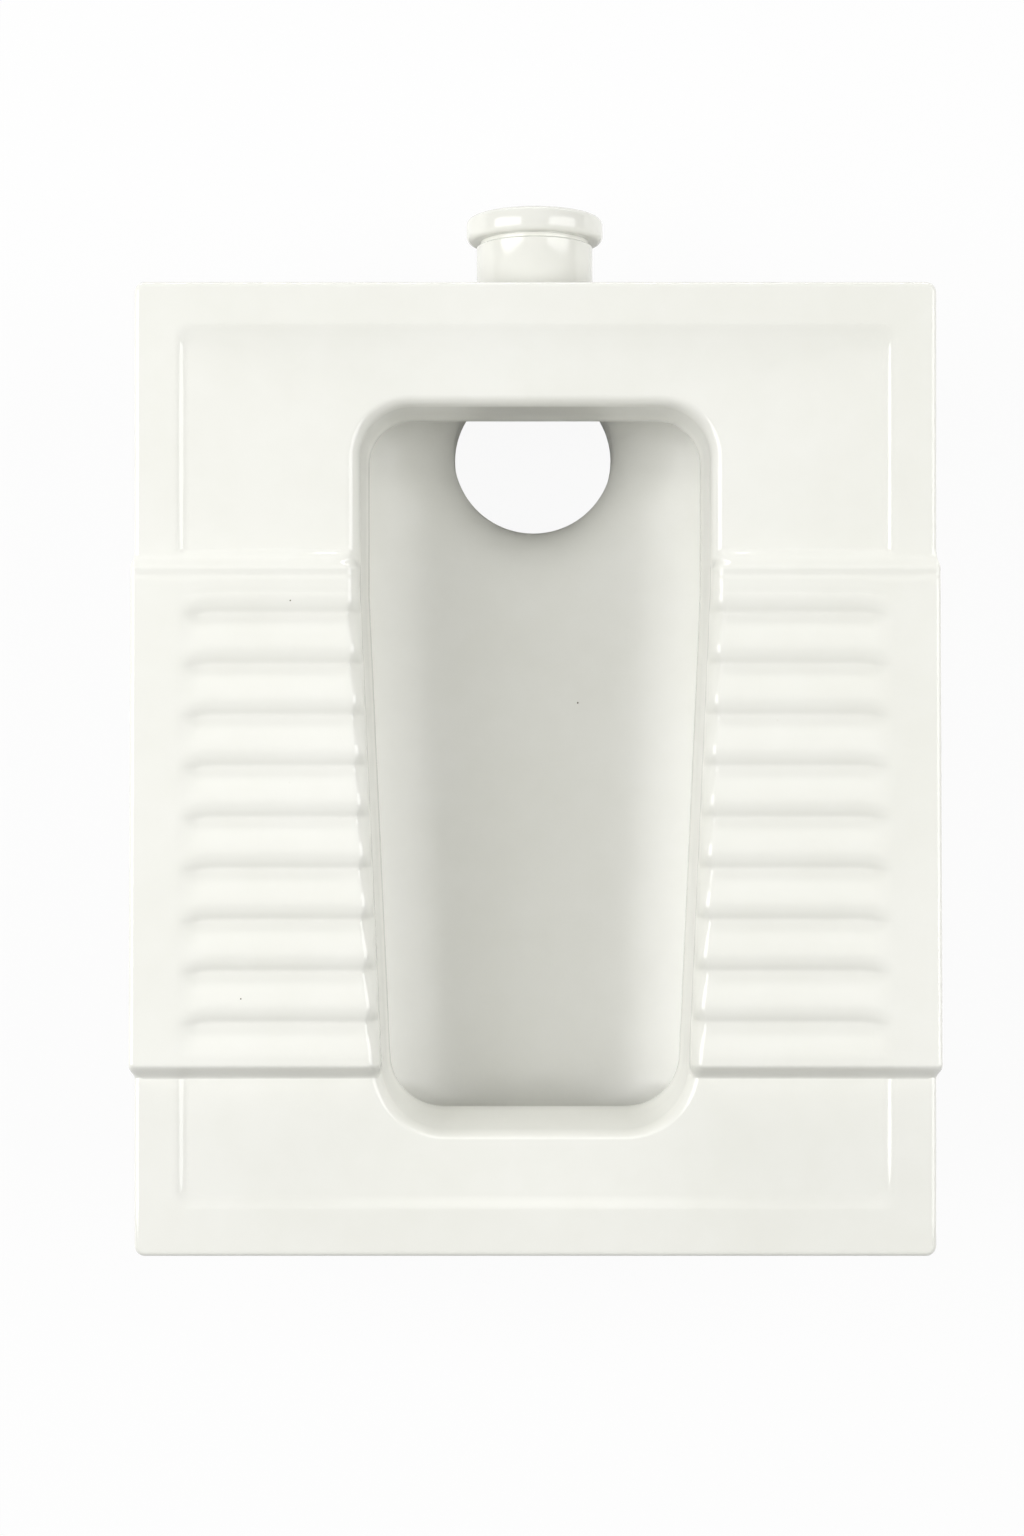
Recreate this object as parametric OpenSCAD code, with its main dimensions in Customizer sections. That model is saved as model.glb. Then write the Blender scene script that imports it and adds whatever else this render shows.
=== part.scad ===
// Squat toilet pan in vitreous china: deck with ribbed footrests, trough bowl with a box rim,
// round waste outlet straight down and a flush inlet at the back.
// X runs across the pan, +Y to its back, +Z up. It stands on Z = 0, centred on its overall length.

/* [Deck] */
// Width of the deck in front of and behind the footrests
deck_w = 494; // [460:2:540]
// Length of the deck from front to back
deck_l = 600; // [580:5:640]
// Height of the deck's border above the surface that the pan stands on
deck_h = 200; // [190:2:230]
// Thickness of the deck at its border
plate_t = 14; // [12:1:18]
// Radius of the deck's corners in plan
corner_r = 6; // [5:0.5:12]
// Rounding of the deck's upper edge
edge_r = 3; // [2:0.5:4]
// Height of the skirt, measured from the deck's upper face
skirt_h = 50; // [40:2:70]
// Thickness of the skirt
skirt_t = 12; // [9:1:15]

/* [Drain panels] */
// Depth of the recessed panels below the border
recess = 2; // [1:0.5:4]
// Fall of the panels from their edge to the lip of the bowl
panel_fall = 1.5; // [0.5:0.5:2]
// Width of the soft edge round the panels
recess_soft = 8; // [4:1:12]
// Width of the border at the sides
border_side = 25; // [20:1:36]
// Width of the border at the back
border_back = 26; // [20:1:36]
// Width of the border at the front
border_front = 29; // [22:1:40]

/* [Mouth of the bowl] */
// Width of the mouth at the rim, in its parallel back part
throat_w = 210; // [190:2:230]
// Distance of the mouth's back edge behind the middle of the deck
throat_back = 221; // [214:1:226]
// Distance of the mouth's front edge before the middle of the deck
throat_front = 214; // [205:1:222]
// Distance behind the middle of the deck where the mouth starts to narrow
taper_start = 110; // [60:2:140]
// Angle by which each side of the mouth narrows towards the front
taper = 2.6; // [0:0.2:4]
// Radius of the mouth's back corners
mouth_back_r = 28; // [20:1:40]
// Radius of the mouth's front corners
mouth_front_r = 34; // [24:1:44]
// Width of the rolled lip at the sides
lip_side = 11; // [7:1:13]
// Width of the rolled lip at the back
lip_back = 10; // [6:1:12]
// Width of the rolled lip at the front
lip_front = 14; // [8:1:16]
// Amount by which each side of the mouth leans out from the rim's lower edge up to the lip
rim_lean = 3.5; // [1:0.5:4]

/* [Footrests] */
// Distance of the footrests' back edge behind the middle of the deck
tread_back = 123; // [100:1:140]
// Distance of the footrests' front edge before the middle of the deck
tread_front = 181; // [160:1:190]
// Height of the footrests above the border at their back edge
tread_rise_back = 4; // [3:0.5:8]
// Height of the footrests above the border at their front edge
tread_rise_front = 11; // [8:0.5:16]
// Amount by which the footrests stand out past the deck's sides
tread_proud = 2; // [1:0.5:4]
// Run of the slope at the footrests' back edge
step_back = 6; // [2:0.5:8]
// Run of the slope at the footrests' front edge
step_front = 10; // [4:0.5:12]
// Width of the plain border along the footrests' outer side
tread_border = 35; // [26:1:44]
// Height of the roll by which the footrests' inner ends come down into the mouth
tread_roll = 14; // [12.5:0.5:16]
// Number of grooves in each footrest
groove_count = 9; // [5:1:9]
// Distance from groove to groove
groove_pitch = 31.4; // [26:0.2:32]
// Depth of the grooves
groove_depth = 3; // [2:0.25:3.5]
// Distance from the footrests' back edge to the first groove
groove_first = 26; // [14:1:30]

/* [Box rim] */
// Depth of the rim's lower edge below the border of the deck
rim_depth = 55; // [45:1:62]
// Clear width of the water channel in the rim
channel_w = 18; // [14:1:24]
// Thickness of the rim's walls
rim_t = 9; // [7:0.5:10]
// Diameter of the flush holes
flush_hole_d = 8; // [5:0.5:10]
// Distance between flush holes along the sides
flush_hole_gap = 36; // [24:2:60]

/* [Bowl] */
// Thickness of the bowl
bowl_t = 10; // [8:0.5:12]
// Depth of the bowl's floor below the border of the deck, at its front
bowl_depth_front = 110; // [100:1:120]
// Depth of the bowl's floor below the border of the deck, at the outlet
bowl_depth_back = 146; // [140:1:150]
// Length over which the front of the bowl curves down to its floor
front_round = 34; // [30:2:90]
// Fullness of the bowl's cross-section, 2 for an ellipse and more for a squarer trough
fullness = 2.2; // [2:0.1:3]

/* [Waste outlet] */
// Inner diameter of the outlet
outlet_bore_d = 108; // [96:1:112]
// Thickness of the outlet's wall
outlet_t = 10; // [8:1:12]
// Height of the bowl's floor above the upper end of the outlet
outlet_shoulder_h = 14; // [12:1:18]
// Distance of the outlet's centre behind the middle of the deck
outlet_back = 214; // [205:1:216]
// Widening of the outlet's edge in the floor of the bowl
outlet_flare = 10; // [4:1:14]

/* [Flush inlet] */
// Inner diameter of the inlet
inlet_bore_d = 55; // [45:1:58]
// Outer diameter of the inlet's neck
inlet_neck_d = 74; // [70:1:78]
// Outer diameter of the collar
inlet_collar_d = 87; // [84:1:100]
// Length of the collar
inlet_collar_l = 15; // [10:1:20]
// Rounding of the collar's edges
collar_edge_r = 4; // [2:0.5:5]
// Distance that the inlet stands out behind the deck
inlet_reach = 51; // [40:1:70]
// Depth of the inlet's centre below the border of the deck
inlet_depth = 60; // [56:1:64]

/* [Flush duct] */
// Width of the duct between inlet and rim
duct_w = 110; // [104:2:120]
// Thickness of the duct's walls
duct_t = 9; // [7:0.5:10]
// Depth of the duct's bottom below the border of the deck
duct_depth = 102; // [100:1:108]

/* [Foot and webs] */
// Width of the front foot
foot_w = 150; // [120:5:180]
// Length of the front foot
foot_l = 70; // [50:5:90]
// Distance of the front foot's centre before the middle of the deck
foot_front = 155; // [130:5:170]
// Radius of the front foot's corners
foot_r = 14; // [11:1:18]
// Thickness of the front foot's walls
foot_t = 10; // [8:1:12]
// Thickness of the webs
web_t = 10; // [8:1:14]
// Height of the webs
web_h = 74; // [64:2:80]
// Distance of the webs before the middle of the deck
web_front = 30; // [0:5:80]

/* [Hidden] */
$fn = 96;

glaze = [0.95, 0.95, 0.92];

// Points on each rounded corner and on each side of the mouth
arc_steps = 8;
side_steps = 8;
// Rings on the bowl from its floor to the top of its curve
bowl_rings = 10;
// Steps on a rounded lip
lip_steps = 6;
// Steps on the rounding of the deck's and the footrests' upper edges
edge_steps = 3;
// Steps on the soft edge round the panels
soft_steps = 4;
// Steps on the rounded nose of each ridge
nose_steps = 6;
// Share of the way from one groove to the next over which the footrest climbs
groove_climb = 0.68;
// Height at which the slopes of the footrests' ends run out on the deck
toe_h = 1;
// Height of the outlet's widening for each millimetre of its width
flare_rise = 1.4;
// Length by which a cutting shape runs past what it cuts
past = 2;
// Depth at which the footrests' ridges and rolled ends start below their upper face
hair = 0.2;

// The middle of the deck lies in front of the origin by half the inlet's reach
deck_y = -inlet_reach / 2;
half_w = deck_w / 2;
half_l = deck_l / 2;
under_z = deck_h - plate_t;
skirt_z = deck_h - skirt_h;
panel_z = deck_h - recess;
lip_z = panel_z - panel_fall;
lip_drop = lip_z - under_z;
rim_z = deck_h - rim_depth;
bowl_front_z = deck_h - bowl_depth_front;
bowl_back_z = deck_h - bowl_depth_back;
outlet_l = bowl_back_z - outlet_shoulder_h;
inlet_z = deck_h - inlet_depth;
duct_z = deck_h - duct_depth;
// Distance from the mouth's edge out to the bowl's inner face
rim_w = rim_t + channel_w;
outlet_r = outlet_bore_d / 2 + outlet_t;
tread_l = tread_back + tread_front;
tread_slope = (tread_rise_front - tread_rise_back) / tread_l;
// Grooves that find room before the footrests' front edge
groove_room = tread_l - groove_first - groove_climb * groove_pitch;
grooves = min(groove_count, 1 + floor(groove_room / groove_pitch));

// ---- Outlines ----

// Points on an arc, its two ends included
function arc(cx, cy, r, from, to) = [
    for (i = [0 : arc_steps])
        let (a = from + (to - from) * i / arc_steps)
        [cx + r * cos(a), cy + r * sin(a)]
];

// Points between two heights of y on the mouth's right side, the ends left out
function mouth_side(side, from, to) = [
    for (i = [1 : side_steps - 1])
        let (y = from + (to - from) * i / side_steps)
        [mouth_x(side, y), y]
];

// Half the mouth's width at y, moved out by side
function mouth_x(side, y) = throat_w / 2 + side - max(0, taper_start - y) * tan(taper);

// The same points on the left side, in the order that closes the outline
function mirrored(points) = [
    for (i = [len(points) - 1 : -1 : 0])
        [-points[i].x, points[i].y]
];

// The mouth's outline, moved out by its own amount at the sides, back and front
function mouth(side, back, front) =
    let (
        back_r = mouth_back_r + (side + back) / 2,
        front_r = mouth_front_r + (side + front) / 2,
        back_y = throat_back + back - back_r,
        front_y = -throat_front - front + front_r,
        back_x = throat_w / 2 + side - back_r,
        front_x = mouth_x(side, front_y) - front_r / cos(taper),
        right = concat(
            arc(front_x, front_y, front_r, -90, -taper),
            mouth_side(side, front_y, back_y),
            arc(back_x, back_y, back_r, 0, 90)
        )
    )
    concat(right, mirrored(right));

// Distance out from the mouth of a lip of the given width, at angle a of its rounding
function lip_out(width, a) = rim_lean + (width - rim_lean) * (1 - sin(a));

// The mouth's outline, moved out evenly
function mouth_out(out) = mouth(out, out, out);

// A rounded rectangle with as many points as the mouth's outline
function panel(inset) =
    let (
        x = half_w - border_side - inset - corner_r,
        back_y = half_l - border_back - inset - corner_r,
        front_y = -half_l + border_front + inset + corner_r,
        right = concat(
            arc(x, front_y, corner_r, -90, 0),
            [
                for (i = [1 : side_steps - 1])
                    [x + corner_r, front_y + (back_y - front_y) * i / side_steps]
            ],
            arc(x, back_y, corner_r, 0, 90)
        )
    )
    concat(right, mirrored(right));

// The deck's outline, which stands out a little beside the footrests and has its own inset there
function deck_outline(inset, beside) =
    let (
        x = half_w - inset,
        y = half_l - inset,
        r = max(corner_r - inset, 1),
        tread_x = half_w + tread_proud - beside,
        right = concat(
            arc(x - r, -y + r, r, -90, 0),
            [
                [x, -tread_front - step_front],
                [tread_x, -tread_front],
                [tread_x, tread_back],
                [x, tread_back + step_back]
            ],
            arc(x - r, y - r, r, 0, 90)
        )
    )
    concat(right, mirrored(right));

function rounded_box(w, l, r) = concat(
    arc(w / 2 - r, -l / 2 + r, r, -90, 0),
    arc(w / 2 - r, l / 2 - r, r, 0, 90),
    arc(-w / 2 + r, l / 2 - r, r, 90, 180),
    arc(-w / 2 + r, -l / 2 + r, r, 180, 270)
);

// An outline laid at height z
function at_z(outline, z) = [for (p = outline) [p.x, p.y, z]];

// Height of the footrests' upper face at y
function tread_z(y) = deck_h + tread_rise_back + (tread_back - y) * tread_slope;

// ---- Solids between outlines ----

// Faces between rings of n points each, listed from the lowest ring up
function ring_sides(n, rings) = [
    for (k = [0 : rings - 2])
        for (i = [0 : n - 1])
            for (face = [
                [k * n + i, (k + 1) * n + i, (k + 1) * n + (i + 1) % n],
                [k * n + i, (k + 1) * n + (i + 1) % n, k * n + (i + 1) % n]
            ])
                face
];

// A closed solid through rings of points, flat at its lowest and its highest ring
module loft(rings) {
    n = len(rings[0]);
    last = (len(rings) - 1) * n;
    polyhedron(
        points = [for (ring = rings) for (p = ring) p],
        faces = concat(
            [[for (i = [0 : n - 1]) i]],
            ring_sides(n, len(rings)),
            [[for (i = [n - 1 : -1 : 0]) last + i]]
        )
    );
}

// A closed ring with the given section of [distance out, z], swept round the mouth
module mouth_ring(section) {
    n = len(mouth_out(0));
    m = len(section);
    polyhedron(
        points = [for (s = section) for (p = mouth_out(s[0])) [p.x, p.y, s[1]]],
        faces = [
            for (k = [0 : m - 1])
                for (i = [0 : n - 1])
                    let (next = (k + 1) % m)
                    for (face = [
                        [k * n + i, k * n + (i + 1) % n, next * n + (i + 1) % n],
                        [k * n + i, next * n + (i + 1) % n, next * n + i]
                    ])
                        face
        ]
    );
}

// ---- Deck ----

module deck_body() {
    rings = concat(
        [at_z(deck_outline(0, 0), skirt_z)],
        [
            for (i = [0 : edge_steps])
                let (a = 90 * i / edge_steps)
                at_z(deck_outline(edge_r * (1 - cos(a)), 0), deck_h - edge_r * (1 - sin(a)))
        ]
    );
    loft(rings);
}

// The space above the drain panels and over the rolled lip, down through the mouth
module panel_space() {
    edge = [
        for (i = [soft_steps : -1 : 0])
            let (t = i / soft_steps)
            at_z(panel(recess_soft * t), deck_h - recess * (1 - cos(180 * t)) / 2)
    ];
    lip = [
        for (i = [lip_steps : -1 : 0])
            let (
                a = 90 * i / lip_steps,
                side = lip_out(lip_side, a),
                back = lip_out(lip_back, a),
                front = lip_out(lip_front, a)
            )
            at_z(mouth(side, back, front), lip_z - lip_drop * (1 - cos(a)))
    ];
    loft(concat(
        [at_z(mouth_out(rim_lean), under_z - past)],
        lip,
        edge,
        [at_z(panel(0), deck_h + past)]
    ));
}

// The rolled inner end of the footrests, as steps of [distance out, height below their upper face]
roll = [
    for (i = [lip_steps : -1 : 0])
        let (a = 90 * i / lip_steps)
        [lip_out(lip_side, a), hair + tread_roll * (1 - cos(a))]
];

// The space inside the mouth between the footrests, whose inner ends roll over into it
module tread_mouth_space() {
    loft(concat(
        [at_z(mouth_out(rim_lean), under_z - past)],
        [for (step = roll) [for (p = mouth_out(step[0])) [p.x, p.y, tread_z(p.y) - step[1]]]],
        [at_z(mouth_out(lip_side), deck_h + tread_rise_front + groove_first)]
    ));
}

// Everything behind or before the footrests, sloped where it meets them
module beyond_footrests(from, direction) {
    rotate([90, 0, 90])
        linear_extrude(height = deck_w, center = true)
            polygon([
                [from, deck_h + 2 * past],
                [from, deck_h],
                [from + direction * plate_t, under_z - past],
                [direction * half_l, under_z - past],
                [direction * half_l, deck_h + 2 * past]
            ]);
}

module deck() {
    color(glaze)
    translate([0, deck_y, 0])
        difference() {
            deck_body();
            translate([0, 0, skirt_z - past])
                linear_extrude(height = under_z - skirt_z + past)
                    polygon(deck_outline(skirt_t, skirt_t));
            tread_mouth_space();
            intersection() {
                panel_space();
                beyond_footrests(tread_back + step_back, 1);
            }
            intersection() {
                panel_space();
                beyond_footrests(-tread_front - step_front, -1);
            }
            translate([-duct_w / 2, half_l - skirt_t - past, skirt_z - past])
                cube([duct_w, skirt_t + 2 * past, under_z - skirt_z + past]);
        }
}

// ---- Footrests ----

// A block with a sloped step at each end, cut to the deck's outline
module tread_block() {
    toe_z = deck_h + toe_h;
    intersection() {
        rotate([90, 0, 90])
            linear_extrude(height = half_w + tread_proud + past)
                polygon([
                    [tread_back + step_back, deck_h],
                    [tread_back + step_back, toe_z],
                    [tread_back, tread_z(tread_back)],
                    [-tread_front, tread_z(-tread_front)],
                    [-tread_front - step_front, toe_z],
                    [-tread_front - step_front, deck_h]
                ]);
        translate([0, 0, deck_h - past])
            linear_extrude(height = tread_rise_front + 2 * past)
                polygon(deck_outline(0, 0));
    }
}

// The space over the rounded upper edge along the footrest's outer side
module tread_edge_space() {
    x = half_w + tread_proud;
    // A slice across that space at y
    function slice(y) = concat(
        [[x + past, y, tread_z(y) - edge_r]],
        [
            for (i = [0 : edge_steps])
                let (a = 90 * i / edge_steps)
                [x - edge_r * (1 - cos(a)), y, tread_z(y) - edge_r * (1 - sin(a))]
        ],
        [
            [x - edge_r, y, tread_z(y) + past],
            [x + past, y, tread_z(y) + past]
        ]
    );
    loft([
        slice(-tread_front - step_front - past),
        slice(tread_back + step_back + past)
    ]);
}

// The space into which a footrest's inner end rolls over, straight along the mouth's side
module tread_roll_space() {
    // A slice across that space at y
    function slice(y) = concat(
        [[-past, y, under_z - past], [mouth_x(rim_lean, y), y, under_z - past]],
        [for (step = roll) [mouth_x(step[0], y), y, tread_z(y) - step[1]]],
        [
            [mouth_x(lip_side, y), y, tread_z(y) + past],
            [-past, y, tread_z(y) + past]
        ]
    );
    loft([
        slice(tread_back + step_back + past),
        slice(taper_start),
        slice(-tread_front - step_front - past)
    ]);
}

// The grooves: each climbs gently towards the front, rounds over and drops into the next
module tread_grooves() {
    climb = groove_climb;
    // Fall below the upper face at share v of the way from one groove to the next
    function fall(v) = hair + (groove_depth - hair) * (v < climb
        ? 1 - v / climb
        : 1 - sqrt(1 - pow((v - climb) / (1 - climb), 2)));
    shares = concat([0], [for (i = [0 : nose_steps - 1]) climb + (1 - climb) * i / nose_steps]);
    first = tread_back - groove_first;
    points = [
        for (g = [0 : grooves - 1])
            for (v = shares)
                if (g < grooves - 1 || v <= climb)
                    let (y = first - groove_pitch * (g + v))
                    [y, tread_z(y) - fall(v)]
    ];
    last_y = points[len(points) - 1][0];
    top = deck_h + tread_rise_front + groove_pitch;
    back_edge = first + groove_depth;
    rotate([90, 0, 90])
        linear_extrude(height = half_w + tread_proud - tread_border)
            polygon(concat(
                points,
                [
                    [last_y, top],
                    [back_edge, top],
                    [back_edge, tread_z(back_edge) + hair]
                ]
            ));
}

module footrest(side) {
    color(glaze)
    translate([0, deck_y, 0])
        mirror([side < 0 ? 1 : 0, 0, 0])
            difference() {
                tread_block();
                tread_edge_space();
                tread_grooves();
                tread_roll_space();
            }
}

module left_footrest() {
    footrest(-1);
}

module right_footrest() {
    footrest(1);
}

// ---- Box rim ----

module flush_rim() {
    edge = rim_t / 3;
    middle = edge * (1 - cos(45));
    color(glaze)
    translate([0, deck_y, 0])
        difference() {
            mouth_ring([
                [rim_lean, under_z],
                [0, rim_z + edge],
                [middle, rim_z + middle],
                [edge, rim_z],
                [rim_w, rim_z],
                [rim_w, rim_z + rim_t],
                [rim_t, rim_z + rim_t],
                [rim_t, under_z]
            ]);
            flush_holes();
        }
}

// Holes through the underside of the rim, down both sides and across both ends
module flush_holes() {
    out = rim_t + channel_w / 2;
    side_from = -throat_front + mouth_front_r;
    side_to = throat_back - mouth_back_r;
    side_count = floor((side_to - side_from) / flush_hole_gap);
    for (i = [0 : side_count])
        let (y = side_from + (side_to - side_from) * i / side_count)
            for (side = [-1, 1])
                translate([side * mouth_x(out, y), y, rim_z - past])
                    cylinder(h = rim_t + 2 * past, d = flush_hole_d);
    for (y = [-throat_front - out, throat_back + out])
        for (i = [-1, 0, 1])
            translate([i * flush_hole_gap, y, rim_z - past])
                cylinder(h = rim_t + 2 * past, d = flush_hole_d);
}

// ---- Bowl ----

// Height of the bowl's floor along its middle
function floor_z(y) =
    let (t = max(0, min(1, (y + throat_front) / (outlet_back + throat_front))))
    bowl_front_z + (bowl_back_z - bowl_front_z) * t * t;

// The bowl's shape, out from the mouth by side and lowered by down
module bowl_shape(out, down, top) {
    wall = mouth_out(out);
    n = len(wall);
    spine_front = -throat_front - rim_w + front_round;
    spine_back = outlet_back - outlet_flare;
    rings = concat(
        [
            for (k = [1 : bowl_rings])
                let (
                    u = sin(90 * k / bowl_rings),
                    h = 1 - pow(max(0, 1 - pow(u, fullness)), 1 / fullness)
                )
                [
                    for (p = wall)
                        let (
                            s = max(spine_front, min(spine_back, p.y)),
                            low = floor_z(s) - down
                        )
                        [p.x * u, s + (p.y - s) * u, low + (rim_z - low) * h]
                ]
        ],
        [at_z(wall, top)]
    );
    last = bowl_rings * n;
    polyhedron(
        points = [for (ring = rings) for (p = ring) p],
        faces = concat(
            [
                for (i = [0 : n / 2 - 2])
                    for (face = [[i, i + 1, n - 2 - i], [i, n - 2 - i, n - 1 - i]])
                        face
            ],
            ring_sides(n, bowl_rings + 1),
            [[for (i = [n - 1 : -1 : 0]) last + i]]
        )
    );
}

// The shoulder over the outlet, r out at its foot, wider by widen above it and closing in at the top
module outlet_shoulder(r, widen, from, to) {
    shoulder_z = bowl_back_z + 2 * outlet_t;
    wide = r + widen;
    translate([0, outlet_back, 0])
        rotate_extrude()
            polygon(concat(
                [[0, from], [r, from], [wide, from + widen]],
                [
                    for (i = [0 : lip_steps])
                        let (a = 90 * i / lip_steps)
                        [
                            wide * (1 + cos(a)) / 2,
                            shoulder_z + (to - shoulder_z) * sin(a)
                        ]
                ],
                [[0, to]]
            ));
}

// The bowl's outer form, which the duct, foot and webs are cut to fit
module bowl_outside() {
    bowl_shape(rim_w + bowl_t, bowl_t, under_z);
    outlet_shoulder(outlet_r, outlet_flare, outlet_l, duct_z + bowl_t);
}

module bowl() {
    bore_r = outlet_bore_d / 2;
    color(glaze)
    translate([0, deck_y, 0])
        difference() {
            bowl_outside();
            bowl_shape(rim_w, 0, under_z + past);
            outlet_shoulder(bore_r, 0, outlet_l - past, duct_z);
            translate([0, outlet_back, bowl_back_z - outlet_flare])
                cylinder(h = flare_rise * outlet_flare, r1 = bore_r, r2 = bore_r + outlet_flare);
            duct_window();
        }
}

// The way through the bowl's back wall from the duct into the rim's channel
module duct_window() {
    w = duct_w - 2 * duct_t;
    translate([-w / 2, throat_back + rim_w - past, rim_z + rim_t])
        cube([w, bowl_t + duct_t + 2 * past, under_z - rim_z - rim_t]);
}

module outlet_spigot() {
    color(glaze)
    translate([0, deck_y + outlet_back, 0])
        difference() {
            cylinder(h = outlet_l, r = outlet_r);
            translate([0, 0, -past])
                cylinder(h = outlet_l + 2 * past, d = outlet_bore_d);
        }
}

// ---- Flush inlet ----

// Places a shape that is drawn along Z with its foot on the deck's back plane
module on_inlet_axis() {
    translate([0, deck_y + half_l, inlet_z])
        rotate([-90, 0, 0])
            children();
}

module inlet_spigot() {
    neck_l = inlet_reach - inlet_collar_l;
    color(glaze)
    on_inlet_axis()
        difference() {
            cylinder(h = neck_l, d = inlet_neck_d);
            translate([0, 0, -past])
                cylinder(h = neck_l + 2 * past, d = inlet_bore_d);
        }
}

module inlet_collar() {
    r = inlet_collar_d / 2;
    from = inlet_reach - inlet_collar_l;
    color(glaze)
    on_inlet_axis()
        rotate_extrude()
            polygon(concat(
                [[inlet_bore_d / 2, from]],
                arc(r - collar_edge_r, from + collar_edge_r, collar_edge_r, -90, 0),
                arc(r - collar_edge_r, inlet_reach - collar_edge_r, collar_edge_r, 0, 90),
                [[inlet_bore_d / 2, inlet_reach]]
            ));
}

module flush_duct() {
    front_y = throat_back + rim_w + bowl_t;
    depth = half_l - front_y;
    height = under_z - duct_z;
    color(glaze)
    translate([0, deck_y, 0])
        difference() {
            translate([-duct_w / 2, front_y, duct_z])
                cube([duct_w, depth, height]);
            translate([-duct_w / 2 + duct_t, front_y + duct_t, duct_z + duct_t])
                cube([duct_w - 2 * duct_t, depth - 2 * duct_t, height]);
            translate([0, half_l - duct_t - past, inlet_z])
                rotate([-90, 0, 0])
                    cylinder(h = duct_t + 2 * past, d = inlet_bore_d);
            duct_window();
            bowl_outside();
        }
}

// ---- Foot and webs ----

module front_foot() {
    color(glaze)
    translate([0, deck_y, 0])
        difference() {
            translate([0, -foot_front, 0])
                difference() {
                    linear_extrude(height = bowl_front_z + bowl_t)
                        polygon(rounded_box(foot_w, foot_l, foot_r));
                    translate([0, 0, -past])
                        linear_extrude(height = bowl_front_z + bowl_t + 2 * past)
                            polygon(rounded_box(
                                foot_w - 2 * foot_t,
                                foot_l - 2 * foot_t,
                                foot_r - foot_t
                            ));
                }
            bowl_outside();
        }
}

module web(side) {
    inner_x = throat_w / 2;
    outer_x = half_w - skirt_t + tread_proud;
    color(glaze)
    translate([0, deck_y - web_front, 0])
        mirror([side < 0 ? 1 : 0, 0, 0])
            difference() {
                rotate([90, 0, 0])
                    linear_extrude(height = web_t, center = true)
                        polygon([
                            [inner_x, under_z],
                            [outer_x, under_z],
                            [outer_x, skirt_z],
                            [inner_x + rim_w + bowl_t, under_z - web_h],
                            [inner_x, under_z - web_h]
                        ]);
                translate([0, web_front, 0])
                    bowl_outside();
            }
}

module left_web() {
    web(-1);
}

module right_web() {
    web(1);
}

deck();
left_footrest();
right_footrest();
flush_rim();
bowl();
outlet_spigot();
inlet_spigot();
inlet_collar();
flush_duct();
front_foot();
left_web();
right_web();
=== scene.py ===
import math

import bmesh
import bpy
from bpy.props import FloatProperty, FloatVectorProperty, IntProperty, PointerProperty
from bpy.types import Operator, Panel, PropertyGroup
from mathutils import Matrix, Vector
from mathutils.bvhtree import BVHTree


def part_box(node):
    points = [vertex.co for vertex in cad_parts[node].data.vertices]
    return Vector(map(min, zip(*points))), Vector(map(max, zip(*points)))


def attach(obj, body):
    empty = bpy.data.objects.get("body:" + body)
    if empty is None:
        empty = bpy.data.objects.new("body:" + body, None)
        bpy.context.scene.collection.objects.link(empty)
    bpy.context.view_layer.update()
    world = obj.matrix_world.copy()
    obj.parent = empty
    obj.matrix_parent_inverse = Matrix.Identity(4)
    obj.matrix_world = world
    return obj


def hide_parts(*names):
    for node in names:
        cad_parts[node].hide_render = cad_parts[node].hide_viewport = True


bl_info = {
    "name": "Squat toilet pan",
    "version": (1, 0, 0),
    "blender": (4, 5, 0),
    "location": "3D View > Sidebar > Squat pan",
    "description": "Models a glazed squat pan piece by piece over its fixed solids",
    "category": "Add Mesh",
}

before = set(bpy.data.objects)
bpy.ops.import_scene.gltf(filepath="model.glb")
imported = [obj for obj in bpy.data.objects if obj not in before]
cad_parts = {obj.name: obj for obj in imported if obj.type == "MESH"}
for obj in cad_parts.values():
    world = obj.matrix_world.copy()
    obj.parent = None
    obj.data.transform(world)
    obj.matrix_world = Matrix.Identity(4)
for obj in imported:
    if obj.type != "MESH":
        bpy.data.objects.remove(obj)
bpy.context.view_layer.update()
DECK_LOW, DECK_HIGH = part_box("deck")
RIM_LOW, RIM_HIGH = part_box("flush_rim")
SPIGOT_LOW, SPIGOT_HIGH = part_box("outlet_spigot")
NECK_LOW, NECK_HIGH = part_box("inlet_spigot")
COLLAR_LOW, COLLAR_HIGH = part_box("inlet_collar")
DUCT_LOW, DUCT_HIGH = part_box("flush_duct")
FOOT_LOW, FOOT_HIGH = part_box("front_foot")
WEB_LOW, WEB_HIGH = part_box("right_web")
# The pieces are drawn about the middle of the deck, which lies a little in front of the origin
DECK_Y = (DECK_LOW.y + DECK_HIGH.y) / 2
# Names of the materials; the skirt's one also has the clay line along its lower edge
WHITE = "glossy_white_glaze"
WHITE_SKIRT = "glossy_white_glaze_skirt"
# The inlet's material is the white glaze made darker: painted shade, so that the inlet reads less lit
# than the deck
INLET_PAINTED_SHADE = "inlet_glaze"
THIN = "thin_satin_glaze"
# Points nearer than this are one point
MERGE = 1e-6
# Edges bent by more than this stay crisp in the shading
SHARP = math.radians(40.0)


# ---- Settings ----

def length(name, description, default):
    return FloatProperty(name=name, description=description, default=default, min=0.0, unit="LENGTH")


def tint(name, description, default):
    return FloatVectorProperty(
        name=name, description=description, default=default, subtype="COLOR", min=0.0, max=1.0)


def watts(name, description, default):
    return FloatProperty(name=name, description=description, default=default, min=0.0, unit="POWER")


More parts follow.
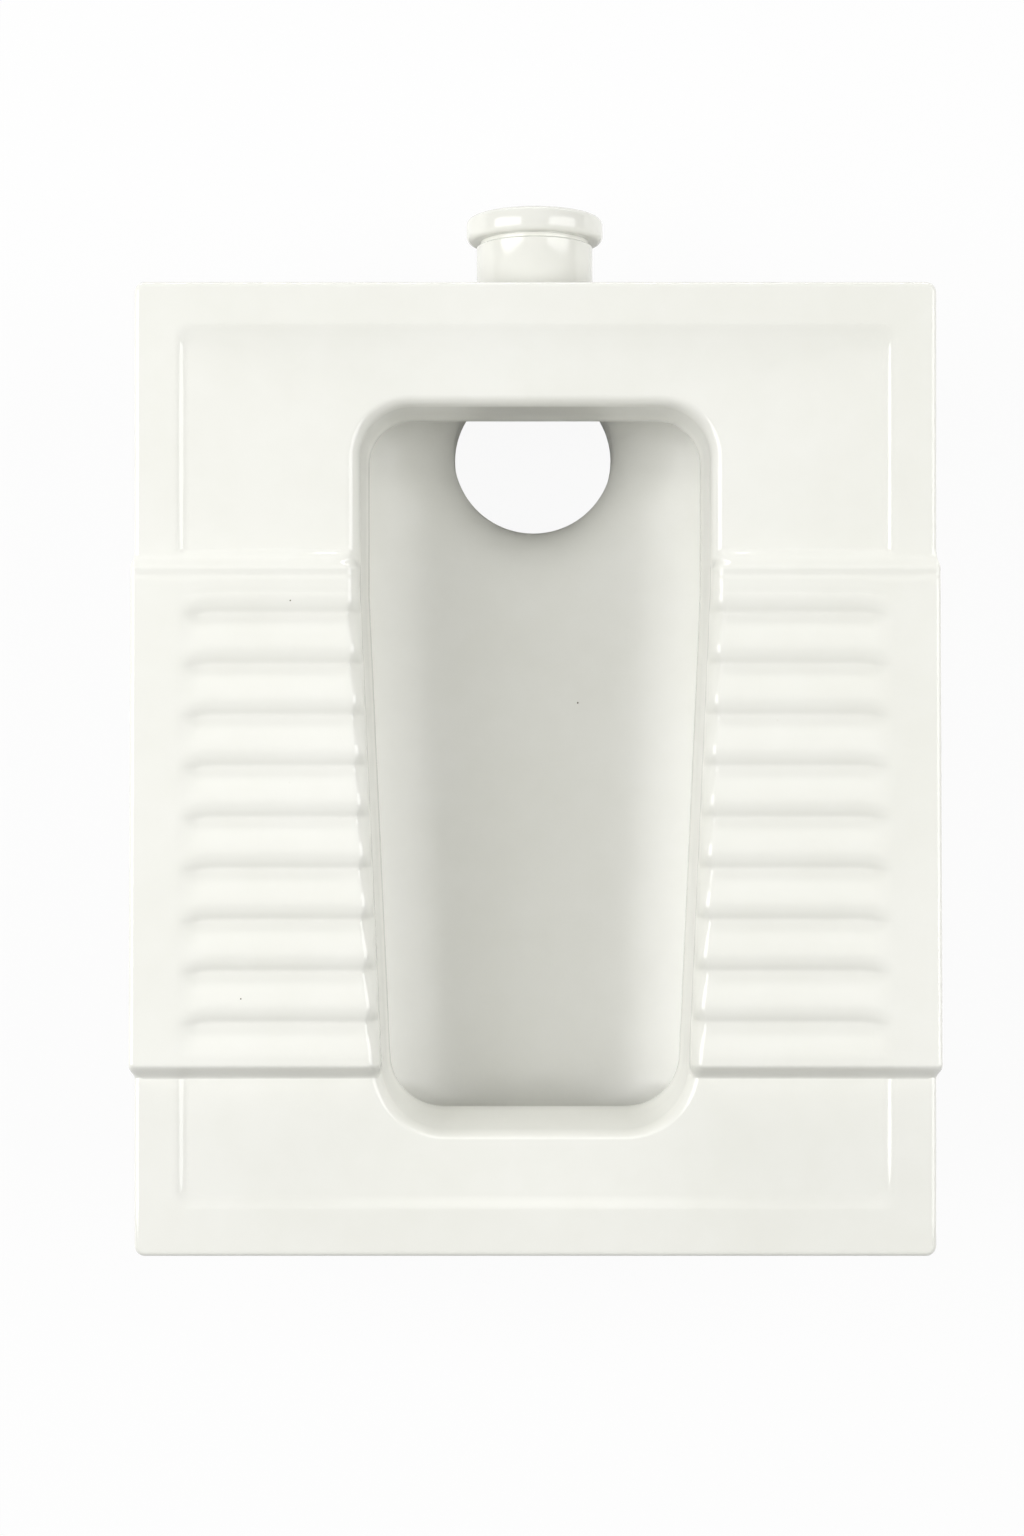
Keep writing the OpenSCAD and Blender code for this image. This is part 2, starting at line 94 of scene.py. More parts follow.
class DeckSizes(PropertyGroup):
    width: length("Width", "Width of the deck in front of and behind the footrests", 0.494)
    size: length("Length", "Length of the deck from front to back", 0.600)
    height: length("Height", "Height of the border above the ground", 0.200)
    plate: length("Plate", "Thickness of the deck at its border", 0.014)
    corner: length("Corner radius", "Radius of the corners in plan", 0.0065)
    edge: length("Edge radius", "Rounding of the upper edge", 0.003)
    skirt: length("Skirt thickness", "Thickness of the skirt", 0.012)
    recess: length("Panel recess", "Depth of the drain panels below the border", 0.002)
    fall: length("Panel fall", "Fall of the panels towards the bowl", 0.0015)
    soft: length("Soft edge", "Width of the soft edge round the panels", 0.009)
    border_side: length("Side border", "Width of the border at the sides", 0.0245)
    border_back: length("Back border", "Width of the border at the back", 0.0255)
    border_front: length("Front border", "Width of the border at the front", 0.0285)


class MouthSizes(PropertyGroup):
    width: length("Width", "Width of the mouth in its parallel back part", 0.210)
    back: length("Back", "Distance of the mouth's back edge behind the middle of the deck", 0.221)
    front: length("Front", "Distance of the mouth's front edge before the middle of the deck", 0.214)
    taper_start: length("Taper start", "Where the mouth starts to narrow", 0.110)
    taper: FloatProperty(
        name="Taper", description="Angle by which each side narrows towards the front",
        default=math.radians(2.6), subtype="ANGLE", unit="ROTATION")
    back_corner: length("Back corners", "Radius of the back corners", 0.028)
    front_corner: length("Front corners", "Radius of the front corners", 0.034)
    lip_side: length("Side lip", "Width of the rolled lip at the sides", 0.011)
    lip_back: length("Back lip", "Width of the rolled lip at the back", 0.010)
    lip_front: length("Front lip", "Width of the rolled lip at the front", 0.0145)
    lean: length("Rim lean", "Amount by which the rim's inner face leans out up to the lip", 0.0035)
    lean_front: length("Front lean", "The same for the rim's inner face at the front", 0.0095)


class FootrestSizes(PropertyGroup):
    back: length("Back", "Distance of the back edge behind the middle of the deck", 0.123)
    front: length("Front", "Distance of the front edge before the middle of the deck", 0.181)
    rise_back: length("Rise at the back", "Height above the border at the back edge", 0.004)
    rise_front: length("Rise at the front", "Height above the border at the front edge", 0.011)
    proud: length("Proud", "Distance that the footrests stand out past the deck's sides", 0.002)
    step_back: length("Back step", "Run of the slope at the back edge", 0.008)
    step_front: length("Front step", "Run of the slope at the front edge", 0.010)
    border: length("Outer border", "Width of the plain border along the outer side", 0.035)
    roll_width: length("Roll width", "Width of the rolled inner ends", 0.0075)
    roll_drop: length("Roll drop", "Height of the rolled inner ends", 0.014)
    knuckle: FloatProperty(
        name="Knuckle", description="Share of the rolled end that a groove cuts back to a slope",
        default=0.55, min=0.0, max=1.0)
    count: IntProperty(
        name="Grooves", description="Number of grooves in each footrest", default=9, min=1, max=9)
    pitch: length("Pitch", "Distance from groove to groove", 0.0314)
    depth: length("Groove depth", "Depth of the grooves", 0.0033)
    first: length("First groove", "Distance from the back edge to the first groove", 0.0270)
    bead: length("Bead", "Depth of the shallow line behind the first groove", 0.0005)
    hook: length("Hook", "Distance by which the grooves' outer ends bend to the front", 0.0018)


class BowlSizes(PropertyGroup):
    wall: length("Wall", "Thickness of the bowl", 0.010)
    rim_wall: length("Rim wall", "Thickness of the walls of the box rim", 0.009)
    channel: length("Channel", "Clear width of the water channel in the rim", 0.018)
    hole: length("Flush holes", "Radius of the flush holes", 0.004)
    hole_gap: length("Hole spacing", "Distance between the flush holes", 0.036)
    floor_front: length("Front floor", "Height of the bowl's floor at its front", 0.090)
    floor_back: length("Back floor", "Height of the bowl's floor at the outlet", 0.068)
    front_round: length("Front rounding", "Length over which the front curves down to the floor", 0.034)
    fullness: FloatProperty(
        name="Fullness", description="2 for an elliptic section, more for a squarer trough",
        default=2.2, min=2.0, max=4.0)
    outlet_back: length("Outlet", "Distance of the outlet's centre behind the middle of the deck", 0.214)
    outlet_bore: length("Outlet bore", "Inner radius of the outlet", 0.054)
    flare: length("Outlet flare", "Rounding of the outlet's edge in the floor", 0.042)


class GlazeLook(PropertyGroup):
    white: tint("White glaze", "Colour of the glossy glaze", (0.90, 0.90, 0.84))
    # The inlet's colour is painted shade: the white glaze made darker, so that the inlet reads less lit
    # than the deck
    inlet: tint("Inlet glaze", "Colour of the thinner coat on the inlet", (0.84, 0.84, 0.78))
    thin: tint("Thin glaze", "Colour of the thin glaze underneath", (0.82, 0.80, 0.73))
    clay: tint("Bare clay", "Colour of the fired clay where no glaze is", (0.74, 0.70, 0.62))
    speck: tint("Specks", "Colour of the small iron specks", (0.10, 0.08, 0.05))


class StageLook(PropertyGroup):
    camera_height: length("Camera height", "Height of the camera above the ground", 1.70)
    camera_x: FloatProperty(
        name="Camera X", description="Sideways place of the camera", default=-0.01445, unit="LENGTH")
    camera_y: FloatProperty(
        name="Camera Y", description="Distance of the camera behind the middle of the deck",
        default=0.0006, unit="LENGTH")
    lens: FloatProperty(
        name="Lens", description="Focal length in millimetres", default=57.16, min=10.0)
    left_power: watts("Left lamp", "Power of the left lamp", 65.0)
    right_power: watts("Right lamp", "Power of the right lamp", 50.0)
    back_power: watts("Back lamp", "Power of the lamp behind", 28.0)
    room: FloatProperty(
        name="Room light", description="Strength of the even light all round", default=0.03, min=0.0)


class PanSettings(PropertyGroup):
    deck: PointerProperty(type=DeckSizes)
    mouth: PointerProperty(type=MouthSizes)
    footrest: PointerProperty(type=FootrestSizes)
    bowl: PointerProperty(type=BowlSizes)
    glaze: PointerProperty(type=GlazeLook)
    stage: PointerProperty(type=StageLook)


# ---- Drawing with bmesh operators ----

def draw_row(bm, points):
    """Draws a row of points by extruding one vertex from each to the next."""
    row = [bm.verts.new(points[0])]
    for point in points[1:]:
        made = bmesh.ops.extrude_vert_indiv(bm, verts=row[-1:])
        made["verts"][0].co = point
        row += made["verts"]
    return row


def grow(bm, row, points, closed=False):
    """Extrudes a row and moves each new vertex to its point."""
    pairs = list(zip(row, row[1:]))
    if closed:
        pairs.append((row[-1], row[0]))
    edges = [bm.edges.get(pair) for pair in pairs]
    made = bmesh.ops.extrude_edge_only(bm, edges=edges)
    fresh = {item for item in made["geom"] if isinstance(item, bmesh.types.BMVert)}
    grown = []
    for vert, point in zip(row, points):
        twin = next(edge.other_vert(vert) for edge in vert.link_edges if edge.other_vert(vert) in fresh)
        twin.co = point
        grown.append(twin)
    return grown


def skin(bm, rows, closed=False):
    """Grows one row after another and returns them all."""
    made = [draw_row(bm, rows[0])]
    if closed:
        bmesh.ops.contextual_create(bm, geom=[made[0][-1], made[0][0]])
    for points in rows[1:]:
        made.append(grow(bm, made[-1], points, closed))
    return made


def whole(rows):
    """A skin over rows that were drawn on the right side, with its other half."""
    bm = bmesh.new()
    skin(bm, rows)
    half = bm.verts[:] + bm.edges[:] + bm.faces[:]
    bmesh.ops.mirror(bm, geom=half, matrix=Matrix.Identity(4), merge_dist=MERGE, axis="X")
    return bm


def box(rows):
    """A skin over closed rows, with a face over the first one and over the last one."""
    bm = bmesh.new()
    made = skin(bm, rows, closed=True)
    bmesh.ops.contextual_create(bm, geom=made[0])
    bmesh.ops.contextual_create(bm, geom=made[-1])
    return bm


def tidy(bm):
    """Joins double points and turns every face outwards."""
    bmesh.ops.remove_doubles(bm, verts=bm.verts, dist=MERGE)
    bmesh.ops.dissolve_degenerate(bm, edges=bm.edges, dist=MERGE)
    bmesh.ops.recalc_face_normals(bm, faces=bm.faces)


def finish_piece(context, bm, name, node, material=WHITE, slot="white_glaze"):
    """Turns a drawn piece into an object that stands for its node."""
    bmesh.ops.translate(bm, verts=bm.verts, vec=(0.0, DECK_Y, 0.0))
    tidy(bm)
    mesh = bpy.data.meshes.new(name)
    bm.to_mesh(mesh)
    bm.free()
    mesh.shade_smooth()
    mesh.set_sharp_from_angle(angle=SHARP)
    piece = bpy.data.objects.new(name, mesh)
    context.scene.collection.objects.link(piece)
    mesh.materials.append(glaze(context, material))
    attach(piece, "root")
    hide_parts(node)
    return piece


def finish_pair(context, right, name, node, **look):
    """Finishes a piece of the right side, and its mirror image on the left."""
    left = right.copy()
    bmesh.ops.transform(left, matrix=Matrix.Scale(-1.0, 4, (1.0, 0.0, 0.0)), verts=left.verts)
    finish_piece(context, right, name + "_right", "right_" + node, **look)
    finish_piece(context, left, name + "_left", "left_" + node, **look)


def mix_rows(a, b, share):
    return [p.lerp(q, share) for p, q in zip(a, b)]


def steps(first, last, count):
    """Evenly spaced numbers from first to last, the first left out."""
    return [first + (last - first) * (i + 1) / count for i in range(count)]


def quarter(count):
    """Evenly spaced angles from 0 to a right angle, both included."""
    return [0.0] + steps(0.0, math.pi / 2, count)


def bends(radius, count):
    """Pairs along a rounding: one number falls from the radius to 0, the other rises from 0 to it."""
    return [(radius * (1.0 - math.sin(a)), radius * (1.0 - math.cos(a))) for a in quarter(count)]


def roll(start, bend, end, share):
    """A place on a rounding that leaves start and reaches end along the lines that meet at bend."""
    # The pull that makes a quarter of a circle out of a square corner
    pull = 0.5523
    near = start + (bend - start) * pull
    far = end + (bend - end) * pull
    rest = 1.0 - share
    return (
        start * rest ** 3 + 3.0 * near * rest ** 2 * share
        + 3.0 * far * rest * share ** 2 + end * share ** 3)


def clamp(value, low=0.0, high=1.0):
    return min(high, max(low, value))


def smooth(share):
    """Eases in and out between 0 and 1."""
    share = clamp(share)
    return share * share * (3.0 - 2.0 * share)


# ---- Outlines in plan ----

ARC_STEPS = 14
# Shares of the way from the last common place on the sides to the front corner
FRONT_SHARES = (0.048, 0.089, 0.113, 0.137, 0.145, 0.153, 0.161, 0.169, 0.177, 0.185, 0.193, 0.2016,
                0.22, 0.30, 0.45, 0.65, 0.83)


class Plan:
    """Rows of points from the middle of the back, round the right side, to the middle of the front.

    All rows have the same number of points, so that any two can be joined."""

    def __init__(self, settings):
        self.deck_sizes = settings.deck
        self.mouth_sizes = settings.mouth
        self.footrest = settings.footrest
        mouth = self.mouth_sizes
        rest = self.footrest
        # The places along the sides that all rows share, clear of the roundings at both ends
        high = mouth.back - mouth.back_corner - 0.008
        low = -mouth.front + mouth.front_corner + 0.010
        self.side_ys = [high]
        self.side_ys += steps(high, rest.back + rest.step_back, 6)
        self.side_ys += steps(rest.back + rest.step_back, rest.back, 4)
        self.side_ys += steps(rest.back, mouth.taper_start, 2)
        self.side_ys += steps(mouth.taper_start, low, 24)

    def row(self, side_x, back_y, front_y, back_r, front_r, z, lean=0.0):
        """One row, with its two corners; side_x gives half the width at a place along the side."""
        back_x = side_x(back_y - back_r) - back_r
        # Two places close together let the skirt step up beside the duct
        notch = (DUCT_HIGH.x - DUCT_LOW.x) / 2
        xs = [0.0] + steps(0.0, notch * 0.8, 4) + [notch - 5e-5, notch]
        xs += steps(notch, back_x, 6)
        points = [Vector((x, back_y, z)) for x in xs]
        for angle in steps(math.pi / 2, 0.0, ARC_STEPS):
            points.append(Vector((
                back_x + back_r * math.cos(angle), back_y - back_r + back_r * math.sin(angle), z)))
        ys = steps(back_y - back_r, self.side_ys[0], 5)[:-1] + self.side_ys
        low = self.side_ys[-1]
        corner_y = front_y + front_r
        ys += [low + (corner_y - low) * share for share in FRONT_SHARES]
        points += [Vector((side_x(y), y, z)) for y in ys]
        front_x = side_x(corner_y) - front_r / math.cos(lean)
        for angle in steps(lean, math.pi / 2, ARC_STEPS + 1):
            points.append(Vector((
                front_x + front_r * math.cos(angle), corner_y - front_r * math.sin(angle), z)))
        points += [Vector((x, front_y, z)) for x in steps(front_x, 0.0, 10)]
        return points

    def beside(self, y):
        """1 beside the footrests, 0 in front of and behind them."""
        rest = self.footrest
        back = smooth((rest.back + rest.step_back - y) / rest.step_back)
        front = smooth((y + rest.front + rest.step_front) / rest.step_front)
        return back * front

    def deck(self, inset, z):
        """The deck's outline, moved in."""
        sizes = self.deck_sizes
        corner = max(sizes.corner - inset, 0.001)
        proud = self.footrest.proud
        return self.row(
            lambda y: sizes.width / 2 - inset + proud * self.beside(y),
            sizes.size / 2 - inset, -sizes.size / 2 + inset, corner, corner, z)

    def panel(self, inset, z):
        """The edge of the drain panels, moved in."""
        sizes = self.deck_sizes
        corner = sizes.corner + 0.002
        return self.row(
            lambda y: sizes.width / 2 - sizes.border_side - inset,
            sizes.size / 2 - sizes.border_back - inset,
            -sizes.size / 2 + sizes.border_front + inset, corner, corner, z)

    def mouth_x(self, side, y):
        """Half the mouth's width at y, moved out by side, along its straight part."""
        sizes = self.mouth_sizes
        return sizes.width / 2 + side - max(0.0, sizes.taper_start - y) * math.tan(sizes.taper)

    def mouth(self, side, back, front, z):
        """The mouth's outline, moved out by its own amount at the sides, back and front."""
        sizes = self.mouth_sizes
        return self.row(
            lambda y: self.mouth_x(side, y),
            sizes.back + back, -sizes.front - front,
            sizes.back_corner + (side + back) / 2, sizes.front_corner + (side + front) / 2,
            z, sizes.taper)

    def wall_x(self, out, y):
        """Half the mouth's width at y, its front corner included."""
        sizes = self.mouth_sizes
        corner = sizes.front_corner + out
        corner_y = -sizes.front - out + corner
        if y > corner_y - corner * math.sin(sizes.taper):
            return self.mouth_x(out, y)
        centre = self.mouth_x(out, corner_y) - corner / math.cos(sizes.taper)
        return centre + math.sqrt(max(0.0, corner ** 2 - (corner_y - y) ** 2))


# ---- Deck ----

def draw_deck(settings):
    sizes = settings.deck
    mouth = settings.mouth
    plan = Plan(settings)
    top = sizes.height
    under = top - sizes.plate
    skirt_z = DECK_LOW.z
    # The skirt is left open at the back, where the duct goes up
    notch = (DUCT_HIGH.x - DUCT_LOW.x) / 2 - 2e-5
    round_r = 0.002
    fillet = 0.008

    def skirt_row(inset, z):
        row = plan.deck(inset, z)
        for point in row:
            if point.x < notch and point.y > 0.0:
                point.z = max(point.z, under)
        return row

    first = plan.mouth(mouth.lean, mouth.lean, mouth.lean_front, under)
    hollow = plan.deck(sizes.skirt + fillet, under)
    rows = [first] + [mix_rows(first, hollow, share) for share in (0.25, 0.5, 0.75, 1.0)]
    for falling, rising in bends(fillet, 5)[1:]:
        rows.append(skirt_row(sizes.skirt + falling, under - rising))
    for falling, rising in bends(round_r, 3):
        rows.append(skirt_row(sizes.skirt - rising, skirt_z + falling))
    for falling, rising in bends(round_r, 3):
        rows.append(skirt_row(falling, skirt_z + rising))
    rows.append(skirt_row(0.0, (skirt_z + top) / 2))
    for falling, rising in bends(sizes.edge, 7):
        rows.append(plan.deck(rising, top - falling))
    border = plan.panel(0.0, top)
    edge = rows[-1]
    rows += [mix_rows(edge, border, share) for share in (0.05, 0.3, 0.6, 0.9, 1.0)]
    for share in steps(0.0, 1.0, 14):
        fall = sizes.recess * (1.0 - math.cos(math.pi * share)) / 2
        rows.append(plan.panel(sizes.soft * share, top - fall))
    lip_z = top - sizes.recess - sizes.fall
    lip = plan.mouth(mouth.lip_side, mouth.lip_back, mouth.lip_front, lip_z)
    inner = rows[-1]
    shares = (0.03, 0.12, 0.25, 0.4, 0.55, 0.7, 0.83, 0.93, 0.98, 1.0)
    rows += [mix_rows(inner, lip, share) for share in shares]
    # The lip rolls from level to the lean of the rim's face below it
    drop = lip_z - under
    tilt = drop / (under - RIM_LOW.z)
    lips = (
        (mouth.lip_side, mouth.lean), (mouth.lip_back, mouth.lean), (mouth.lip_front, mouth.lean_front))
    for share in steps(0.0, 1.0, 16):
        out = [roll(width, lean * (1.0 + tilt), lean, share) for width, lean in lips]
        rows.append(plan.mouth(*out, roll(lip_z, lip_z, under, share)))
    bm = whole(rows)
    tidy(bm)
    return bm


class PAN_OT_deck(Operator):
    """Makes the deck: border, skirt, drain panels and the rolled lip of the mouth"""
    bl_idname = "squat_pan.deck"
    bl_label = "Deck"

    def execute(self, context):
        bm = draw_deck(context.scene.squat_pan)
        finish_piece(context, bm, "pan_deck", "deck", material=WHITE_SKIRT)
        return {"FINISHED"}


# ---- Footrests ----

# Height of a ridge, in shares of the groove's depth, at shares of the way from one groove to the next
RIDGE = (
    (0.0, -1.0), (0.05, -0.97), (0.12, -0.88), (0.28, -0.58), (0.45, -0.27), (0.58, -0.08), (0.66, 0.0),
    (0.72, -0.02), (0.79, -0.11), (0.86, -0.32), (0.92, -0.62), (0.96, -0.86), (1.0, -1.0))
# Where the points lie along a ridge, and the offsets over which its height is averaged
RIDGE_PLACES = (
    0.0, 0.015, 0.03, 0.05, 0.075, 0.10, 0.13, 0.17, 0.22, 0.28, 0.34, 0.40, 0.46, 0.52, 0.57, 0.61,
    0.65, 0.69, 0.73, 0.77, 0.81, 0.845, 0.875, 0.90, 0.92, 0.94, 0.955, 0.97, 0.985)
RIDGE_SOFTNESS = (-0.03, -0.02, -0.01, 0.0, 0.01, 0.02, 0.03)
# Past this share of the way the last ridge runs on level, and before that one the first has not begun
LAST_CREST = 0.68
FIRST_FOOT = -0.45
# Length of the low toe behind the back step, and the run over which it rises
TOE = 0.005
TOE_RUN = 0.006


def ridge_height(share):
    """Height of the ridged face at a share of the way from groove to groove, softened a little."""
    total = 0.0
    for offset in RIDGE_SOFTNESS:
        place = (share + offset) % 1.0
        for (a, low), (b, high) in zip(RIDGE, RIDGE[1:]):
            if place <= b:
                total += low + (high - low) * (place - a) / (b - a)
                break
    return total / len(RIDGE_SOFTNESS)


def footrest_top(rest, deck_top, y):
    """Height of the footrest's plain face, which rises to the front."""
    slope = (rest.rise_front - rest.rise_back) / (rest.back + rest.front)
    return deck_top + rest.rise_back + (rest.back - y) * slope


def groove_fall(rest, x, y, outer_x):
    """Depth of the grooves at a place on the footrest, fading out towards the outer border."""
    share = (rest.back - rest.first - y) / rest.pitch
    if share < FIRST_FOOT:
        bead_place = 0.0034
        bead_width = 0.0022
        off = (y - rest.back + bead_place) / bead_width
        return rest.bead * math.exp(-off * off)
    if share > rest.count - 1 + LAST_CREST:
        return 0.0
    fade_start = outer_x - rest.border - 0.010
    fade_run = 0.017
    return -ridge_height(share % 1.0) * rest.depth * (1.0 - smooth((x - fade_start) / fade_run))


def draw_footrest(settings):
    """The right footrest, as rows of points across the pan that follow one another to the front."""
    sizes = settings.deck
    rest = settings.footrest
    plan = Plan(settings)
    deck = draw_deck(settings)
    tree = BVHTree.FromBMesh(deck)
    deck.free()
    top = sizes.height
    under = top - sizes.plate
    outer_x = sizes.width / 2 + rest.proud
    toe_back = rest.back + rest.step_back + TOE
    toe_front = -rest.front - rest.step_front
    first = rest.back - rest.first
    # Places along the footrest, close together where its face bends
    fine_back = 0.008
    fine_front = 0.003
    ys = [toe_back] + steps(toe_back, rest.back, 14) + steps(rest.back, rest.back - fine_back, 12)
    ys += steps(rest.back - fine_back, first + 0.4 * rest.pitch, 3)
    ys += [first + (1.0 - place) * rest.pitch for place in RIDGE_PLACES if place >= 0.6]
    for groove in range(rest.count):
        last = 1.0 if groove < rest.count - 1 else LAST_CREST - 0.01
        ys += [first - (groove + place) * rest.pitch for place in RIDGE_PLACES if place < last]
    ys += steps(ys[-1], -rest.front + fine_front, 5) + steps(-rest.front + fine_front, toe_front, 16)
    # Places across the footrest, from the groove's outer end to the start of the inner roll
    outer_end = outer_x - rest.border + 0.009
    inner_end = outer_x - rest.border - 0.008
    outer = [outer_x - sizes.edge - 0.0001] + steps(outer_x - sizes.edge, outer_end, 5)
    ends = steps(outer_end, inner_end, 14)
    # The grooves bend to the front over one run, and back again over the next
    bend_start = outer_x - rest.border - 0.016
    bend_run = 0.018
    back_start = outer_x - 0.022
    back_run = 0.016
    foot_z = under + 0.004
    rows = []
    for y in ys:
        wall = plan.wall_x(settings.mouth.lean, y)
        start = wall + rest.roll_width
        across = outer + ends + steps(ends[-1], start + 0.004, 14) + steps(start + 0.004, start, 2)
        # 1 along the footrest, and fading to 0 over its two ends
        inside = smooth((rest.back - y) / 0.01) * smooth((y + rest.front) / 0.02)

        def bent(x):
            bend = smooth((x - bend_start) / bend_run)
            back = smooth((x - back_start) / back_run)
            return y - rest.hook * bend * (1.0 - back) * inside

        def face(x):
            return footrest_top(rest, top, y) - groove_fall(rest, x, y, outer_x)

        row = [Vector((outer_x, y, top - sizes.edge))]
        high = face(outer_x)
        for falling, rising in bends(sizes.edge, 6):
            row.append(Vector((outer_x - rising, y, high - falling)))
        row += [Vector((x, bent(x), face(x))) for x in across]
        high = face(start)
        low = high - rest.roll_drop
        # A groove also cuts the roll back to a slope, so each ridge ends in a knuckle of its own
        cut = rest.knuckle * groove_fall(rest, start, y, outer_x) / rest.depth * inside
        for share in steps(0.0, 1.0, 14):
            angle = share * math.pi / 2
            over = math.sin(angle) + (share - math.sin(angle)) * cut
            down = 1.0 - math.cos(angle)
            down += (share - down) * cut
            row.append(Vector((start - rest.roll_width * over, y, high - rest.roll_drop * down)))
        row += [Vector((wall, y, z)) for z in steps(min(low, foot_z), under, 3)]
        rows.append(row)
    blend_ends(plan, tree, rows, ys)
    bm = bmesh.new()
    made = skin(bm, rows)
    close_under(bm, made, foot_z, outer_x)
    tidy(bm)
    return bm


def blend_ends(plan, tree, rows, ys):
    """Brings the footrest's two ends down to the deck's own surface."""
    rest = plan.footrest
    top = plan.deck_sizes.height
    for row, y in zip(rows, ys):
        back = smooth((rest.back + rest.step_back - y) / rest.step_back)
        toe = smooth((rest.back + rest.step_back + TOE - y) / TOE_RUN)
        front = smooth((y + rest.front + rest.step_front) / rest.step_front)
        if back * front * toe >= 1.0:
            continue
        for point in row:
            ground = deck_place(plan, tree, point, y)
            # The toe first rises to the border's level, then the step climbs to the footrest's face
            if y > 0.0:
                level = ground.copy()
                rise = (top - ground.z) * toe * flat_share(plan, point.x, y)
                level.z = max(ground.z, ground.z + rise)
                point.xyz = level.lerp(point, back)
            else:
                point.xyz = ground.lerp(point, front)


def flat_share(plan, x, y):
    """1 on the flat of the deck, 0 on the mouth's lip."""
    mouth = plan.mouth_sizes
    return smooth((x - plan.wall_x(mouth.lean, y)) / (mouth.lip_side * 1.2))


def deck_place(plan, tree, point, y):
    """The place on the deck's surface that lies under a point of the footrest."""
    sizes = plan.deck_sizes
    # The blended ends lie this far inside the deck's skin, so that neither shows through the other
    depth = 4e-5
    brink = sizes.width / 2 - 0.0005
    over_all = 0.3
    if point.x > plan.wall_x(plan.mouth_sizes.lip_side, y):
        hit = tree.ray_cast(Vector((min(point.x, brink), point.y, over_all)), Vector((0.0, 0.0, -1.0)))
        if hit[0] is not None:
            place = hit[0] - hit[1] * depth
            if point.x > brink:
                place = Vector((point.x - 0.0003, point.y, min(point.z, hit[0].z)))
                near = tree.find_nearest(place)
                place = near[0] - near[1] * depth
            return place
    near = tree.find_nearest(Vector((point.x, point.y, min(point.z, sizes.height - 0.004))))
    return near[0] - near[1] * depth


def close_under(bm, rows, z, outer_x):
    """Closes the footrest underneath, inside the deck's plate."""
    border = [row[0] for row in rows] + rows[-1][1:] + [row[-1] for row in reversed(rows[:-1])]
    border += list(reversed(rows[0][1:-1]))
    middle_x = (outer_x + rows[0][-1].co.x) / 2
    middle_y = (rows[0][0].co.y + rows[-1][0].co.y) / 2
    shrink_x = 0.93
    shrink_y = 0.97
    points = []
    for vert in border:
        x = middle_x + (vert.co.x - middle_x) * shrink_x
        y = middle_y + (vert.co.y - middle_y) * shrink_y
        points.append(Vector((x, y, z)))
    inner = grow(bm, border, points, closed=True)
    bmesh.ops.contextual_create(bm, geom=inner)


class PAN_OT_footrests(Operator):
    """Makes the two ribbed footrests, which roll over into the mouth"""
    bl_idname = "squat_pan.footrests"
    bl_label = "Footrests"

    def execute(self, context):
        right = draw_footrest(context.scene.squat_pan)
        finish_pair(context, right, "ribbed_footrest", "footrest")
        return {"FINISHED"}


# ---- Box rim ----

class PAN_OT_flush_rim(Operator):
    """Makes the box rim, which carries the flushing water round the bowl"""
    bl_idname = "squat_pan.flush_rim"
    bl_label = "Box rim"

    def execute(self, context):
        settings = context.scene.squat_pan
        sizes = settings.bowl
        plan = Plan(settings)
        low = RIM_LOW.z
        high = RIM_HIGH.z
        wall = sizes.rim_wall
        outer = wall + sizes.channel
        nose = 0.004
        fillet = 0.003
        lean = settings.mouth.lean
        section = [(lean * share, low + (high - low) * share) for share in (1.0, 0.75, 0.5, 0.25)]
        section += [(rising, low + falling) for falling, rising in bends(nose, 7)]
        section += [(wall, low), (outer, low), (outer, low + wall)]
        section += [(wall + falling, low + wall + rising) for falling, rising in bends(fillet, 4)]
        section += [(wall, high), (lean, high)]
        # The inner face leans out further at the front
        more = (settings.mouth.lean_front - lean) / (high - low)
        rows = []
        for out, z in section:
            rows.append(plan.mouth(out, out, out + (more * (z - low) if out <= wall else 0.0), z))
        rim = finish_piece(context, whole(rows), "box_rim", "flush_rim")
        drill(rim, self.draw_holes(plan, sizes))
        return {"FINISHED"}

    def draw_holes(self, plan, sizes):
        """Pins where the flush holes go, down both sides and across both ends."""
        mouth = plan.mouth_sizes
        wall = sizes.rim_wall
        out = wall + sizes.channel / 2
        start = -mouth.front + mouth.front_corner
        end = mouth.back - mouth.back_corner
        count = math.floor((end - start) / sizes.hole_gap)
        places = []
        for i in range(count + 1):
            y = start + (end - start) * i / count
            places += [(side * plan.mouth_x(out, y), y) for side in (-1.0, 1.0)]
        for y in (-mouth.front - out, mouth.back + out):
            places += [(i * sizes.hole_gap, y) for i in (-1.0, 0.0, 1.0)]
        # A slight turn keeps the pins' corners off the rim's edges
        turn = Matrix.Rotation(0.06, 4, "Z")
        bm = bmesh.new()
        for x, y in places:
            place = Matrix.Translation((x, y + DECK_Y, RIM_LOW.z + wall / 2))
            bmesh.ops.create_cone(
                bm, cap_ends=True, segments=24, radius1=sizes.hole, radius2=sizes.hole, depth=wall * 2.0,
                matrix=place @ turn)
        return bm


def drill(piece, pins):
    """Cuts pins out of a piece."""
    mesh = bpy.data.meshes.new("pins")
    pins.to_mesh(mesh)
    pins.free()
    cutter = bpy.data.objects.new("pins", mesh)
    bpy.context.scene.collection.objects.link(cutter)
    cut = piece.modifiers.new("Flush holes", "BOOLEAN")
    cut.operation = "DIFFERENCE"
    cut.solver = "EXACT"
    cut.object = cutter
    graph = bpy.context.evaluated_depsgraph_get()
    drilled = bpy.data.meshes.new_from_object(piece.evaluated_get(graph))
    piece.modifiers.remove(cut)
    piece.data = drilled
    drilled.set_sharp_from_angle(angle=SHARP)
    bpy.data.objects.remove(cutter)


# ---- Bowl ----

